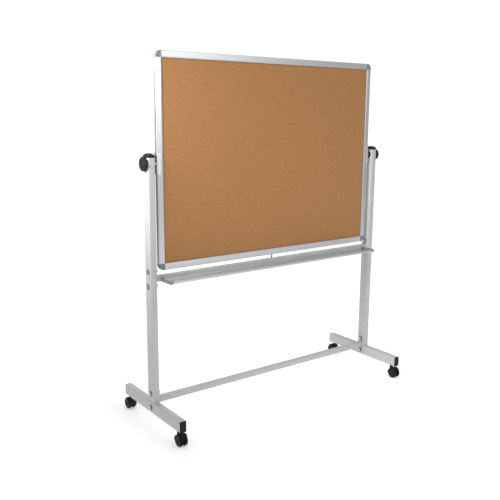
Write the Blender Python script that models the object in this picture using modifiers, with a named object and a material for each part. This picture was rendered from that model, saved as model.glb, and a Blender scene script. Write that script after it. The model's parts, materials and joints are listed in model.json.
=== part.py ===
"""Reversible whiteboard and cork board on a rolling stand.

The board hangs between two uprights on a horizontal pivot at half its height. Two hand knobs
clamp the pivot, and a sprung pin in the upper crossbar locks the board upright. Each foot
carries two twin-wheel casters. Front, the cork side, is -Y, left is -X and up is +Z. The
origin is on the floor, under the middle of the stand. Units are metres.
"""

import math

import bmesh
import bpy
from mathutils import Matrix, Vector

# Overall size
HEIGHT = 1.5875
WIDTH = 1.3462
DEPTH = 0.508
GAP = 0.0003  # between pieces that touch

# Board and its frame
BOARD_WIDTH = 1.216
BOARD_HEIGHT = 0.896
RAIL_FACE = 0.028  # width of the frame as seen from the front
RAIL_THICK = 0.020
RAIL_WALL = 0.0015
RAIL_ROUND = 0.004  # radius of the two outer edges
CORNER_RADIUS = 0.025
CORNER_THICK = 0.0208
PANEL_INSET = 0.012  # from the frame's outer face to the panel's edge
PANEL_THICK = 0.016
CORK_THICK = 0.004
SHEET_THICK = 0.0008
PEG_LENGTH = 0.018

# Stand
UPRIGHT_X = 0.6411
TUBE_WIDE = 0.030
TUBE_DEEP = 0.048
TUBE_WALL = 0.0015
TUBE_ROUND = 0.003
UPRIGHT_TOP = 1.165
UPRIGHT_CAP_RISE = 0.0165
UPRIGHT_CAP_PROUD = 0.0006
UPRIGHT_CAP_DOME = (0.0115, 0.0180, 0.0145)  # how far its curve reaches in X, in Y and down
FOOT_LENGTH = 0.490
FOOT_BOTTOM = 0.064
FOOT_CAP_THICK = 0.0027
FOOT_CAP_EDGE = (0.0012, 0.0012, 0.0012)
PLUG_DEPTH = 0.012
PLUG_SLACK = 0.0006

# Crossbars
BAR_SIZE = 0.025
UPPER_BAR_Z = 0.659
LOWER_BAR_Z = 0.1195
BAR_PLATE_TALL = 0.086
BAR_PLATE_WIDE = 0.030
BAR_PLATE_THICK = 0.003
BOLT_SPREAD = 0.032  # from the bar's middle to each bolt
VENT_RADIUS = 0.005

# Crossbar bolts
BOLT_RADIUS = 0.004
BOLT_HEAD_RADIUS = 0.0085
BOLT_HEAD_TALL = 0.0055
NUT_TALL = 0.0065
WASHER_RADIUS = 0.0110
WASHER_THICK = 0.0016
HOLE_SLACK = 0.0004

# Pivot
PIVOT_RADIUS = 0.005
BRACKET_TALL = 0.087
BRACKET_WEB = 0.0014
BRACKET_FLANGE = 0.001
BRACKET_REACH = 0.0185  # how far the flanges reach over the frame's faces
SHOULDER_RADIUS = 0.0066
PIVOT_WASHER_RADIUS = 0.015
PIVOT_WASHER_THICK = 0.003
KNOB_RADIUS = 0.030
KNOB_LOBES = 10
KNOB_LOBE_DEPTH = 0.0018
KNOB_COLLAR_RADIUS = 0.019
KNOB_COLLAR_TALL = 0.0040
KNOB_BORE_DEPTH = 0.0125

# Pen tray
TRAY_HALF_LENGTH = 0.603
TRAY_DEPTH = 0.0792
TRAY_BOTTOM = 0.6475
TRAY_WALL = 0.002
TRAY_LIP_TALL = 0.013
TRAY_FLANGE_TALL = 0.0075
TRAY_CAP_LENGTH = 0.016
TRAY_CAP_PROUD = 0.0006
TRAY_CAP_WALL = 0.0025

# Board lock
PIN_RADIUS = 0.003
PIN_TOP = 0.6945
PIN_BOTTOM = 0.6246
PIN_COLLAR_RADIUS = 0.0055
PIN_COLLAR_TALL = 0.002
PIN_EYE_Z = 0.6279
PIN_EYE_RADIUS = 0.0019
PIN_HOLE_SLACK = 0.0006
STRIKE_RADIUS = 0.0075
STRIKE_FLANGE = 0.002
STRIKE_SLEEVE_RADIUS = 0.005
STRIKE_SLEEVE_TALL = 0.008
RING_TOP = 0.6282  # the middle of its wire, where it hangs in the pin's eye
RING_RADIUS = 0.007  # to the middle of its wire
RING_WIRE = 0.0011
SPRING_RADIUS = 0.0044
SPRING_WIRE = 0.0005
SPRING_TURNS = 4

# Casters
WHEEL_RADIUS = 0.025
WHEEL_INNER = 0.0046  # from the caster's middle plane to the wheel's inner face
WHEEL_OUTER = 0.0190
HOOD_RADIUS = 0.0265
HOOD_HALF_WIDTH = 0.019
HOOD_WEB = 0.004  # half the thickness of the web between the wheels
HOOD_CLEAR = 0.0004
HOOD_SKIRT = 0.006  # how far the hood reaches below the axle
HOOD_BROW = 0.0165  # how far it reaches outwards of the axle, over the open side
HOOD_BROW_TALL = 0.0180  # from the axle up to the brow's lower edge
BOSS_RADIUS = 0.009
STEM_RADIUS = 0.005
STEM_TOP = 0.094
AXLE_RADIUS = 0.003
AXLE_HALF_LENGTH = 0.0150
CASTER_TRAIL = 0.018
LEVER_GAP = 0.0005
LEVER_THICK = 0.0022
LEVER_HALF_WIDTH = 0.009
LEVER_FROM = math.radians(47)
LEVER_TO = math.radians(76)
LEVER_TAB = 0.0070

# Worked out from the sizes above
BOARD_TOP = HEIGHT
BOARD_BOTTOM = HEIGHT - BOARD_HEIGHT
PIVOT_Z = HEIGHT - BOARD_HEIGHT / 2
UPRIGHT_INNER = UPRIGHT_X - TUBE_WIDE / 2
UPRIGHT_OUTER = UPRIGHT_X + TUBE_WIDE / 2
FOOT_TOP = FOOT_BOTTOM + TUBE_DEEP
BAR_PLATE_INNER = UPRIGHT_INNER - GAP - BAR_PLATE_THICK
BAR_INSIDE_TOP = UPPER_BAR_Z + BAR_SIZE / 2 - TUBE_WALL
BAR_INSIDE_BOTTOM = UPPER_BAR_Z - BAR_SIZE / 2 + TUBE_WALL
PIN_COLLAR_Z = BAR_INSIDE_TOP - GAP - PIN_COLLAR_TALL
CASTER_Y = DEPTH / 2 - CASTER_TRAIL - WHEEL_RADIUS
SIDES = (("left", -1), ("right", 1))
ENDS = (("front", -1), ("rear", 1))

AXIS_TURNS = {
    "X": Matrix(((0, 0, 1), (1, 0, 0), (0, 1, 0))).to_4x4(),  # outline's x, y go to Y, Z
    "Y": Matrix(((-1, 0, 0), (0, 0, 1), (0, 1, 0))).to_4x4(),  # to -X, Z
    "Z": Matrix.Identity(4),
}


def clear_scene():
    for obj in list(bpy.data.objects):
        bpy.data.objects.remove(obj)


def new_collection(name):
    made = bpy.data.collections.new(name)
    bpy.context.scene.collection.children.link(made)
    return made


def new_material(name, colour, roughness, metallic=0.0):
    made = bpy.data.materials.new(name)
    made.use_nodes = True
    shader = made.node_tree.nodes["Principled BSDF"]
    shader.inputs["Base Color"].default_value = (*colour, 1)
    shader.inputs["Roughness"].default_value = roughness
    shader.inputs["Metallic"].default_value = metallic
    made.diffuse_color = (*colour, 1)
    return made


def new_object(name, mesh, material=None, collection=None, at=(0, 0, 0)):
    made = bpy.data.objects.new(name, mesh)
    (collection or PARTS).objects.link(made)
    made.location = at
    if material:
        mesh.materials.clear()
        mesh.materials.append(material)
    return made


def finish(obj, smooth_degrees=30):
    """Shades the round faces smooth and keeps the edges of the flat ones."""
    obj.data.shade_smooth()
    obj.data.set_sharp_from_angle(angle=math.radians(smooth_degrees))
    return obj


# Shapes


def rectangle(wide, tall, radius=0.0, steps=2, middle=(0, 0)):
    """Outline of a rectangle, with its corners rounded if a radius is given."""
    corners = []
    for sx, sy, first in ((1, -1, -90), (1, 1, 0), (-1, 1, 90), (-1, -1, 180)):
        cx = middle[0] + sx * (wide / 2 - radius)
        cy = middle[1] + sy * (tall / 2 - radius)
        if not radius:
            corners.append((cx, cy))
            continue
        for i in range(steps + 1):
            angle = math.radians(first + 90 * i / steps)
            corners.append((cx + radius * math.cos(angle), cy + radius * math.sin(angle)))
    return corners


def circle(radius, count=20, middle=(0, 0)):
    turns = (2 * math.pi * (i + 0.5) / count for i in range(count))
    return [(middle[0] + radius * math.cos(t), middle[1] + radius * math.sin(t)) for t in turns]


def extruded_mesh(outlines, length, axis="Z"):
    """Mesh of flat outlines extruded by length about their own plane; inner outlines are holes."""
    curve = bpy.data.curves.new("outline", "CURVE")
    curve.dimensions = "2D"
    curve.fill_mode = "BOTH"
    curve.extrude = length / 2
    for outline in outlines:
        spline = curve.splines.new("POLY")
        spline.points.add(len(outline) - 1)
        for point, (x, y) in zip(spline.points, outline):
            point.co = (x, y, 0, 1)
        spline.use_cyclic_u = True
    guide = bpy.data.objects.new("outline", curve)
    CUTTERS.objects.link(guide)
    bpy.context.view_layer.update()
    graph = bpy.context.evaluated_depsgraph_get()
    mesh = bpy.data.meshes.new_from_object(guide.evaluated_get(graph))
    bpy.data.objects.remove(guide)
    work = bmesh.new()
    work.from_mesh(mesh)
    bmesh.ops.remove_doubles(work, verts=work.verts, dist=1e-6)
    bmesh.ops.transform(work, matrix=AXIS_TURNS[axis], verts=work.verts)
    bmesh.ops.recalc_face_normals(work, faces=work.faces)
    work.to_mesh(mesh)
    work.free()
    return mesh


def cylinder_mesh(radius, length, axis="Z", sides=12, middle=(0, 0, 0)):
    work = bmesh.new()
    bmesh.ops.create_cone(
        work,
        cap_ends=True,
        segments=sides,
        radius1=radius,
        radius2=radius,
        depth=length,
    )
    place = Matrix.Translation(middle) @ AXIS_TURNS[axis]
    bmesh.ops.transform(work, matrix=place, verts=work.verts)
    bmesh.ops.recalc_face_normals(work, faces=work.faces)
    mesh = bpy.data.meshes.new("cylinder")
    work.to_mesh(mesh)
    work.free()
    return mesh


def box_mesh(size, middle=(0, 0, 0)):
    work = bmesh.new()
    bmesh.ops.create_cube(work, size=1)
    place = Matrix.Translation(middle) @ Matrix.Diagonal((*size, 1))
    bmesh.ops.transform(work, matrix=place, verts=work.verts)
    mesh = bpy.data.meshes.new("box")
    work.to_mesh(mesh)
    work.free()
    return mesh


def lofted_mesh(rings):
    """Closed solid through a stack of outlines, each with as many points and its height."""
    work = bmesh.new()
    loops = [[work.verts.new((x, y, z)) for x, y in outline] for outline, z in rings]
    for lower, upper in zip(loops, loops[1:]):
        for i, first in enumerate(lower):
            work.faces.new((lower[i - 1], first, upper[i], upper[i - 1]))
    work.faces.new(loops[0])
    work.faces.new(loops[-1])
    bmesh.ops.recalc_face_normals(work, faces=work.faces)
    mesh = bpy.data.meshes.new("loft")
    work.to_mesh(mesh)
    work.free()
    return mesh


def turned_object(name, profile, material, steps, at, closed=False):
    """Solid of revolution. The profile is (radius, height) pairs, outer side from top to bottom."""
    mesh = bpy.data.meshes.new(name)
    points = [(radius, 0, height) for radius, height in profile]
    edges = [(i, i + 1) for i in range(len(points) - 1)]
    if closed:
        edges.append((len(points) - 1, 0))
    mesh.from_pydata(points, edges, [])
    made = new_object(name, mesh, material, at=at)
    screw = made.modifiers.new("Turn", "SCREW")
    screw.steps = screw.render_steps = steps
    screw.use_merge_vertices = True
    screw.merge_threshold = 1e-6
    screw.use_smooth_shade = True
    return made


def combine(obj, operation, *meshes):
    """Adds Boolean modifiers that join meshes to obj or cut them from it."""
    for i, mesh in enumerate(meshes):
        tool = new_object(f"{obj.name}_{operation.lower()}_{i}", mesh, None, CUTTERS, obj.location)
        tool.rotation_euler = obj.rotation_euler
        tool.hide_render = True
        tool.display_type = "WIRE"
        modifier = obj.modifiers.new(f"{operation.title()} {i}", "BOOLEAN")
        modifier.operation = operation
        modifier.solver = "EXACT"
        modifier.object = tool
    return obj


# Board


def rail_outline(steps=2):
    """Section of a frame rail: x runs in from the outer face, y is the board's depth."""
    half = RAIL_THICK / 2
    slot = PANEL_THICK / 2 + GAP
    outline = [
        (RAIL_FACE, -half),
        (RAIL_FACE, -slot),
        (PANEL_INSET, -slot),
        (PANEL_INSET, slot),
        (RAIL_FACE, slot),
        (RAIL_FACE, half),
    ]
    for sign, first in ((1, 90), (-1, 180)):
        for i in range(steps + 1):
            angle = math.radians(first + 90 * i / steps)
            x = RAIL_ROUND + RAIL_ROUND * math.cos(angle)
            outline.append((x, sign * (half - RAIL_ROUND) + RAIL_ROUND * math.sin(angle)))
    return outline


def chamber_size():
    return PANEL_INSET - 2 * RAIL_WALL, RAIL_THICK - 2 * RAIL_WALL


def make_rails():
    wide, deep = chamber_size()
    chamber = rectangle(wide, deep, middle=(PANEL_INSET / 2, 0))
    outlines = [rail_outline(), chamber]
    upright_length = BOARD_HEIGHT - 2 * (RAIL_FACE + GAP)
    level_length = BOARD_WIDTH - 2 * (RAIL_FACE + GAP)
    for side, sign in SIDES:
        mirrored = [[(-sign * x, y) for x, y in outline] for outline in outlines]
        mesh = extruded_mesh(mirrored, upright_length)
        at = (sign * BOARD_WIDTH / 2, 0, PIVOT_Z)
        finish(new_object(f"frame_rail_{side}", mesh, ALUMINIUM, at=at))
    for name, sign, hole in (("bottom", -1, STRIKE_SLEEVE_RADIUS), ("top", 1, PIN_RADIUS)):
        turned = [[(y, -sign * x) for x, y in outline] for outline in outlines]
        mesh = extruded_mesh(turned, level_length, "X")
        at = (0, 0, PIVOT_Z + sign * BOARD_HEIGHT / 2)
        rail = new_object(f"frame_rail_{name}", mesh, ALUMINIUM, at=at)
        radius = hole + PIN_HOLE_SLACK
        combine(rail, "DIFFERENCE", cylinder_mesh(radius, 2 * RAIL_WALL + 0.002))
        finish(rail)


def make_corner(side, sign, name, up):
    """Quarter-round cap that covers a corner and plugs into its two rails."""
    outline = []
    steps = 6
    for i in range(steps + 1):
        angle = math.radians(90 * i / steps)
        x = RAIL_FACE - CORNER_RADIUS + CORNER_RADIUS * math.cos(angle)
        y = RAIL_FACE - CORNER_RADIUS + CORNER_RADIUS * math.sin(angle)
        outline.append((x, y))
    outline += [(0, RAIL_FACE), (0, 0), (RAIL_FACE, 0)]
    outline = [(-sign * (RAIL_FACE - x), -up * (RAIL_FACE - y)) for x, y in outline]
    mesh = extruded_mesh([[(-x, y) for x, y in outline]], CORNER_THICK, "Y")
    at = (sign * BOARD_WIDTH / 2, 0, PIVOT_Z + up * BOARD_HEIGHT / 2)
    cap = new_object(f"corner_cap_{name}_{side}", mesh, GREY_PLASTIC, at=at)
    wide, deep = chamber_size()
    peg = (wide - 2 * PLUG_SLACK, deep - 2 * PLUG_SLACK)
    middle = PANEL_INSET / 2
    into = PEG_LENGTH / 2 + RAIL_FACE - 0.002
    pocket = RAIL_FACE - PANEL_INSET + 0.004
    pocket_at = PANEL_INSET - GAP + pocket / 2
    slot = box_mesh(
        (pocket, PANEL_THICK + 2 * GAP, pocket), (-sign * pocket_at, 0, -up * pocket_at)
    )
    combine(cap, "DIFFERENCE", slot)
    down = box_mesh((peg[0], peg[1], PEG_LENGTH + 0.004), (-sign * middle, 0, -up * into))
    across = box_mesh((PEG_LENGTH + 0.004, peg[1], peg[0]), (-sign * into, 0, -up * middle))
    combine(cap, "UNION", down, across)
    finish(cap)


def make_panel():
    """Cork in front, white steel behind and a light core between them."""
    wide = BOARD_WIDTH - 2 * (PANEL_INSET + GAP)
    tall = BOARD_HEIGHT - 2 * (PANEL_INSET + GAP)
    core = PANEL_THICK - CORK_THICK - SHEET_THICK - 2 * GAP
    front = -PANEL_THICK / 2
    layers = (
        ("cork_sheet", CORK_THICK, front, CORK),
        ("board_core", core, front + CORK_THICK + GAP, CARD),
        ("whiteboard_sheet", SHEET_THICK, -front - SHEET_THICK, WHITE_ENAMEL),
    )
    for name, thick, start, material in layers:
        mesh = box_mesh((wide, thick, tall))
        new_object(name, mesh, material, at=(0, start + thick / 2, PIVOT_Z))


def make_strike():
    """Flanged ferrule under the bottom rail, which the lock pin enters."""
    hole = PIN_RADIUS + PIN_HOLE_SLACK
    face = -STRIKE_FLANGE - GAP
    profile = (
        (hole, STRIKE_SLEEVE_TALL),
        (STRIKE_SLEEVE_RADIUS, STRIKE_SLEEVE_TALL),
        (STRIKE_SLEEVE_RADIUS, -GAP),
        (STRIKE_RADIUS, -GAP),
        (STRIKE_RADIUS, face + 0.0005),
        (STRIKE_RADIUS - 0.0005, face),
        (hole, face),
    )
    turned_object("lock_strike", profile, ZINC, 16, (0, 0, BOARD_BOTTOM), closed=True)


# Pivot


def knob_outline():
    count = 5 * KNOB_LOBES
    points = []
    for i in range(count):
        turn = 2 * math.pi * i / count
        radius = KNOB_RADIUS - KNOB_LOBE_DEPTH * (1 - math.cos(KNOB_LOBES * turn)) / 2
        points.append((radius * math.cos(turn), radius * math.sin(turn)))
    return points


def make_bracket(side, sign):
    """Channel that wraps the frame rail and carries the pivot bolt in its web."""
    face = BOARD_WIDTH / 2 + GAP
    web = face + BRACKET_WEB
    inner = CORNER_THICK / 2 + GAP
    outer = inner + BRACKET_FLANGE
    end = web - BRACKET_REACH
    corner = 0.0012
    outline = [
        (end, -outer),
        (web - corner, -outer),
        (web, -outer + corner),
        (web, outer - corner),
        (web - corner, outer),
        (end, outer),
        (end, inner),
        (face, inner),
        (face, -inner),
        (end, -inner),
    ]
    mesh = extruded_mesh([[(sign * x, y) for x, y in outline]], BRACKET_TALL)
    bracket = new_object(f"pivot_bracket_{side}", mesh, ZINC, at=(0, 0, PIVOT_Z))
    hole_at = (sign * face, 0, 0)
    combine(bracket, "DIFFERENCE", cylinder_mesh(PIVOT_RADIUS + GAP, 0.01, "X", middle=hole_at))
    finish(bracket)


def make_pivot_bolt(side, sign):
    """Bolt with a shoulder that keeps the board off the upright."""
    start = BOARD_WIDTH / 2 + 2 * GAP
    end = UPRIGHT_OUTER + GAP + KNOB_BORE_DEPTH - 0.0005
    middle = (start + end) / 2
    shank = cylinder_mesh(PIVOT_RADIUS, end - start, "X")
    bolt = new_object(f"pivot_bolt_{side}", shank, ZINC, at=(sign * middle, 0, PIVOT_Z))
    shoulder_start = BOARD_WIDTH / 2 + 2 * GAP + BRACKET_WEB
    shoulder_end = UPRIGHT_INNER - 2 * GAP - PIVOT_WASHER_THICK
    shoulder_at = (sign * ((shoulder_start + shoulder_end) / 2 - middle), 0, 0)
    length = shoulder_end - shoulder_start
    combine(bolt, "UNION", cylinder_mesh(SHOULDER_RADIUS, length, "X", 16, shoulder_at))
    finish(bolt)


def make_pivot(side, sign):
    make_bracket(side, sign)
    make_pivot_bolt(side, sign)
    washer_at = UPRIGHT_INNER - GAP - PIVOT_WASHER_THICK / 2
    rings = [circle(PIVOT_WASHER_RADIUS, 20), circle(PIVOT_RADIUS + HOLE_SLACK, 12)]
    mesh = extruded_mesh(rings, PIVOT_WASHER_THICK, "X")
    at = (sign * washer_at, 0, PIVOT_Z)
    finish(new_object(f"pivot_washer_{side}", mesh, BLACK_PLASTIC, at=at))

    inner = UPRIGHT_OUTER + GAP
    disc_start = inner + KNOB_COLLAR_TALL
    disc = WIDTH / 2 - disc_start
    middle = disc_start + disc / 2
    mesh = extruded_mesh([knob_outline()], disc, "X")
    knob = new_object(f"knob_{side}", mesh, BLACK_PLASTIC, at=(sign * middle, 0, PIVOT_Z))
    collar_tall = KNOB_COLLAR_TALL + 0.002
    collar_at = (sign * (inner + collar_tall / 2 - middle), 0, 0)
    bore_tall = KNOB_BORE_DEPTH + 0.002
    bore_at = (sign * (inner + KNOB_BORE_DEPTH - bore_tall / 2 - middle), 0, 0)
    bore = cylinder_mesh(PIVOT_RADIUS + HOLE_SLACK, bore_tall, "X", middle=bore_at)
    combine(knob, "UNION", cylinder_mesh(KNOB_COLLAR_RADIUS, collar_tall, "X", 20, collar_at))
    combine(knob, "DIFFERENCE", bore)
    finish(knob)


# Stand


def tube_outlines(wide, tall, round_by=TUBE_ROUND):
    inner = rectangle(wide - 2 * TUBE_WALL, tall - 2 * TUBE_WALL, round_by - TUBE_WALL, 2)
    return [rectangle(wide, tall, round_by), inner]


def cap_mesh(wide, deep, rise, curve, steps):
    """Tube cap: a plug below z = 0 and, above it, a head with a curved top edge."""
    slack = 2 * (TUBE_WALL + PLUG_SLACK)
    plug = rectangle(TUBE_WIDE - slack, TUBE_DEEP - slack, TUBE_ROUND - TUBE_WALL)
    rings = [(plug, -PLUG_DEPTH), (plug, 0)]
    reach_x, reach_y, drop = curve
    rings.append((rectangle(wide, deep, TUBE_ROUND), 0))
    for i in range(steps + 1):
        angle = math.radians(90 * i / steps)
        inset = 2 * (1 - math.cos(angle))
        outline = rectangle(wide - inset * reach_x, deep - inset * reach_y, TUBE_ROUND)
        rings.append((outline, rise - drop * (1 - math.sin(angle))))
    return lofted_mesh(rings)


def make_upright(side, sign):
    length = UPRIGHT_TOP - FOOT_TOP - GAP
    middle = FOOT_TOP + GAP + length / 2
    mesh = extruded_mesh(tube_outlines(TUBE_WIDE, TUBE_DEEP), length)
    at = (sign * UPRIGHT_X, 0, middle)
    tube = new_object(f"upright_{side}", mesh, POWDER_COAT, at=at)
    levels = (UPPER_BAR_Z + BOLT_SPREAD, UPPER_BAR_Z - BOLT_SPREAD, LOWER_BAR_Z + BOLT_SPREAD)
    holes = [(z, BOLT_RADIUS) for z in levels] + [(PIVOT_Z, PIVOT_RADIUS)]
    for z, radius in holes:
        hole_at = (0, 0, z - middle)
        hole = cylinder_mesh(radius + HOLE_SLACK, TUBE_WIDE + 0.01, "X", middle=hole_at)
        combine(tube, "DIFFERENCE", hole)
    finish(tube)
    wide = TUBE_WIDE + 2 * UPRIGHT_CAP_PROUD
    deep = TUBE_DEEP + 2 * UPRIGHT_CAP_PROUD
    mesh = cap_mesh(wide, deep, UPRIGHT_CAP_RISE, UPRIGHT_CAP_DOME, 5)
    at = (sign * UPRIGHT_X, 0, UPRIGHT_TOP + GAP)
    finish(new_object(f"upright_cap_{side}", mesh, BLACK_PLASTIC, at=at), 40)


def make_foot(side, sign):
    length = FOOT_LENGTH - 2 * (FOOT_CAP_THICK + GAP)
    outlines = tube_outlines(TUBE_WIDE, TUBE_DEEP)
    middle = FOOT_BOTTOM + TUBE_DEEP / 2
    at = (sign * UPRIGHT_X, 0, middle)
    foot = new_object(f"foot_{side}", extruded_mesh(outlines, length, "Y"), POWDER_COAT, at=at)
    for end, forward in ENDS:
        stem_at = (0, forward * CASTER_Y, -TUBE_DEEP / 2)
        hole = cylinder_mesh(STEM_RADIUS + HOLE_SLACK, 0.01, middle=stem_at)
        combine(foot, "DIFFERENCE", hole)
        mesh = cap_mesh(TUBE_WIDE, TUBE_DEEP, FOOT_CAP_THICK, FOOT_CAP_EDGE, 1)
        mesh.transform(Matrix.Rotation(-forward * math.pi / 2, 4, "X"))
        at = (sign * UPRIGHT_X, forward * (length / 2 + GAP), middle)
        finish(new_object(f"foot_cap_{end}_{side}", mesh, BLACK_PLASTIC, at=at))
    bolt_at = (0, 0, LOWER_BAR_Z - BOLT_SPREAD - middle)
    hole = cylinder_mesh(BOLT_RADIUS + HOLE_SLACK, TUBE_WIDE + 0.01, "X", middle=bolt_at)
    combine(foot, "DIFFERENCE", hole)
    finish(foot)


def make_crossbar(name, z):
    """Square tube with a welded plate at each end; the plates bolt to the uprights."""
    half = UPRIGHT_INNER - GAP
    inside = half - BAR_PLATE_THICK
    tube = extruded_mesh(tube_outlines(BAR_SIZE, BAR_SIZE, 0.0025), 2 * inside + 0.002, "X")
    bar = new_object(name, tube, POWDER_COAT, at=(0, 0, z))
    for _, sign in SIDES:
        plate_at = (sign * (half - BAR_PLATE_THICK / 2), 0, 0)
        plate = box_mesh((BAR_PLATE_THICK, BAR_PLATE_WIDE, BAR_PLATE_TALL), plate_at)
        combine(bar, "UNION", plate)
    for _, sign in SIDES:
        for radius, up in ((BOLT_RADIUS, 1), (BOLT_RADIUS, -1), (VENT_RADIUS, 0)):
            hole_at = (sign * half, 0, up * BOLT_SPREAD)
            hole = cylinder_mesh(radius + HOLE_SLACK, 0.012, "X", middle=hole_at)
            combine(bar, "DIFFERENCE", hole)
    return bar


def make_bolt(name, side_sign, z):
    """Hex bolt through the upright and the crossbar's end plate, with its washers and nut."""
    sink = 0.0004  # how far the joined pieces reach into one another
    head = UPRIGHT_OUTER + GAP
    nut = BAR_PLATE_INNER - GAP
    inner = nut - WASHER_THICK - NUT_TALL - 0.001
    outer = head + WASHER_THICK + 0.001
    middle = (inner + outer) / 2
    shank = cylinder_mesh(BOLT_RADIUS, outer - inner, "X", 10)
    bolt = new_object(name, shank, ZINC, at=(side_sign * middle, 0, z))
    pieces = (
        (WASHER_RADIUS, head, head + WASHER_THICK, 14),
        (BOLT_HEAD_RADIUS, head + WASHER_THICK - sink, head + WASHER_THICK + BOLT_HEAD_TALL, 6),
        (WASHER_RADIUS, nut - WASHER_THICK, nut, 14),
        (BOLT_HEAD_RADIUS, nut - WASHER_THICK - NUT_TALL, nut - WASHER_THICK + sink, 6),
    )
    for radius, start, end, sides in pieces:
        at = (side_sign * ((start + end) / 2 - middle), 0, 0)
        combine(bolt, "UNION", cylinder_mesh(radius, end - start, "X", sides, at))
    finish(bolt)


def make_crossbars():
    upper = make_crossbar("upper_crossbar", UPPER_BAR_Z)
    pin_hole = cylinder_mesh(PIN_RADIUS + PIN_HOLE_SLACK, BAR_SIZE + 0.01)
    combine(upper, "DIFFERENCE", pin_hole)
    finish(upper)
    finish(make_crossbar("lower_crossbar", LOWER_BAR_Z))
    for level, z in (("upper", UPPER_BAR_Z), ("lower", LOWER_BAR_Z)):
        for side, sign in SIDES:
            make_bolt(f"{level}_bar_bolt_{side}_high", sign, z + BOLT_SPREAD)
            make_bolt(f"{level}_bar_bolt_{side}_low", sign, z - BOLT_SPREAD)


def tray_outline():
    """Section of the pen tray: x is -Y from the crossbar's face, y is up from the tray's bottom."""
    front, wall = TRAY_DEPTH, TRAY_WALL
    return [
        (0, 0),
        (0, TRAY_FLANGE_TALL),
        (wall, TRAY_FLANGE_TALL),
        (wall, 1.6 * wall),
        (1.6 * wall, wall),
        (front - 2 * wall, wall),
        (front - wall, 2 * wall),
        (front - wall, TRAY_LIP_TALL),
        (front - 0.3 * wall, TRAY_LIP_TALL),
        (front, TRAY_LIP_TALL - 0.4 * wall),
        (front, 1.8 * wall),
        (front - 0.5 * wall, 0.7 * wall),
        (front - 1.8 * wall, 0),
    ]


def make_tray():
    face = -BAR_SIZE / 2 - GAP
    length = 2 * (TRAY_HALF_LENGTH - TRAY_CAP_LENGTH - GAP)
    outline = [(-x, y) for x, y in tray_outline()]
    mesh = extruded_mesh([outline], length, "X")
    tray = new_object("pen_tray", mesh, ALUMINIUM, at=(0, face, TRAY_BOTTOM))
    finish(tray, 20)
    size = (
        TRAY_CAP_LENGTH,
        TRAY_DEPTH + TRAY_CAP_PROUD,
        TRAY_LIP_TALL + 2 * TRAY_CAP_PROUD,
    )
    for side, sign in SIDES:
        at = (sign * (TRAY_HALF_LENGTH - size[0] / 2), face - size[1] / 2, TRAY_BOTTOM)
        mesh = rounded_cap_mesh(size, sign, (0, 0, size[2] / 2 - TRAY_CAP_PROUD))
        cap = new_object(f"tray_end_cap_{side}", mesh, GREY_PLASTIC, at=at)
        pocket = (size[0], size[1] - 2 * TRAY_CAP_WALL, size[2])
        pocket_at = (-sign * TRAY_CAP_WALL, 0, size[2] / 2 + TRAY_WALL)
        combine(cap, "DIFFERENCE", box_mesh(pocket, pocket_at))
        finish(cap)


def rounded_cap_mesh(size, sign, middle):
    """Block whose front outer corner is rounded, as seen from above."""
    radius = 0.009
    outline = [
        (-sign * size[0] / 2, size[1] / 2),
        (-sign * size[0] / 2, -size[1] / 2),
    ]
    steps = 4
    for i in range(steps + 1):
        angle = math.radians(-90 + 90 * i / steps)
        x = sign * (size[0] / 2 - radius + radius * math.cos(angle))
        outline.append((x, -size[1] / 2 + radius + radius * math.sin(angle)))
    outline.append((sign * size[0] / 2, size[1] / 2))
    mesh = extruded_mesh([outline], size[2])
    mesh.transform(Matrix.Translation(middle))
    return mesh


# Board lock


def make_pin():
    length = PIN_TOP - PIN_BOTTOM
    middle = (PIN_TOP + PIN_BOTTOM) / 2
    pin = new_object("lock_pin", cylinder_mesh(PIN_RADIUS, length), ZINC, at=(0, 0, middle))
    collar_at = (0, 0, PIN_COLLAR_Z + PIN_COLLAR_TALL / 2 - middle)
    collar = cylinder_mesh(PIN_COLLAR_RADIUS, PIN_COLLAR_TALL, sides=16, middle=collar_at)
    combine(pin, "UNION", collar)
    eye = cylinder_mesh(PIN_EYE_RADIUS, 0.01, "X", 14, (0, 0, PIN_EYE_Z - middle))
    combine(pin, "DIFFERENCE", eye)
    finish(pin)


def make_ring():
    """Pull ring that hangs from the pin's eye."""
    work = bmesh.new()
    wire = bmesh.ops.create_circle(work, cap_ends=False, radius=RING_WIRE, segments=8)
    bmesh.ops.translate(work, verts=wire["verts"], vec=(RING_RADIUS, 0, 0))
    bmesh.ops.spin(
        work,
        geom=work.verts[:] + work.edges[:],
        cent=(0, 0, 0),
        axis=(0, 1, 0),
        angle=2 * math.pi,
        steps=20,
        use_merge=True,
    )
    bmesh.ops.recalc_face_normals(work, faces=work.faces)
    bmesh.ops.translate(work, verts=work.verts, vec=(0, 0, -RING_RADIUS))
    mesh = bpy.data.meshes.new("pull_ring")
    work.to_mesh(mesh)
    work.free()
    finish(new_object("pull_ring", mesh, ZINC, at=(0, 0, RING_TOP)))


def make_spring():
    """Compression spring round the pin, between the crossbar's lower wall and the pin's collar."""
    bottom = BAR_INSIDE_BOTTOM + SPRING_WIRE + GAP
    top = PIN_COLLAR_Z - SPRING_WIRE - GAP
    curve = bpy.data.curves.new("lock_spring", "CURVE")
    curve.dimensions = "3D"
    curve.bevel_depth = SPRING_WIRE
    curve.bevel_resolution = 1
    curve.use_fill_caps = True
    spline = curve.splines.new("POLY")
    count = 10 * SPRING_TURNS + 1
    spline.points.add(count - 1)
    for i, point in enumerate(spline.points):
        share = i / (count - 1)
        turn = 2 * math.pi * SPRING_TURNS * share
        rise = share * (top - bottom)
        point.co = (SPRING_RADIUS * math.cos(turn), SPRING_RADIUS * math.sin(turn), rise, 1)
    curve.materials.append(ZINC)
    spring = bpy.data.objects.new("lock_spring", curve)
    PARTS.objects.link(spring)
    spring.location = (0, 0, bottom)


def make_lock():
    make_pin()
    make_ring()
    make_spring()


# Casters


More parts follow.
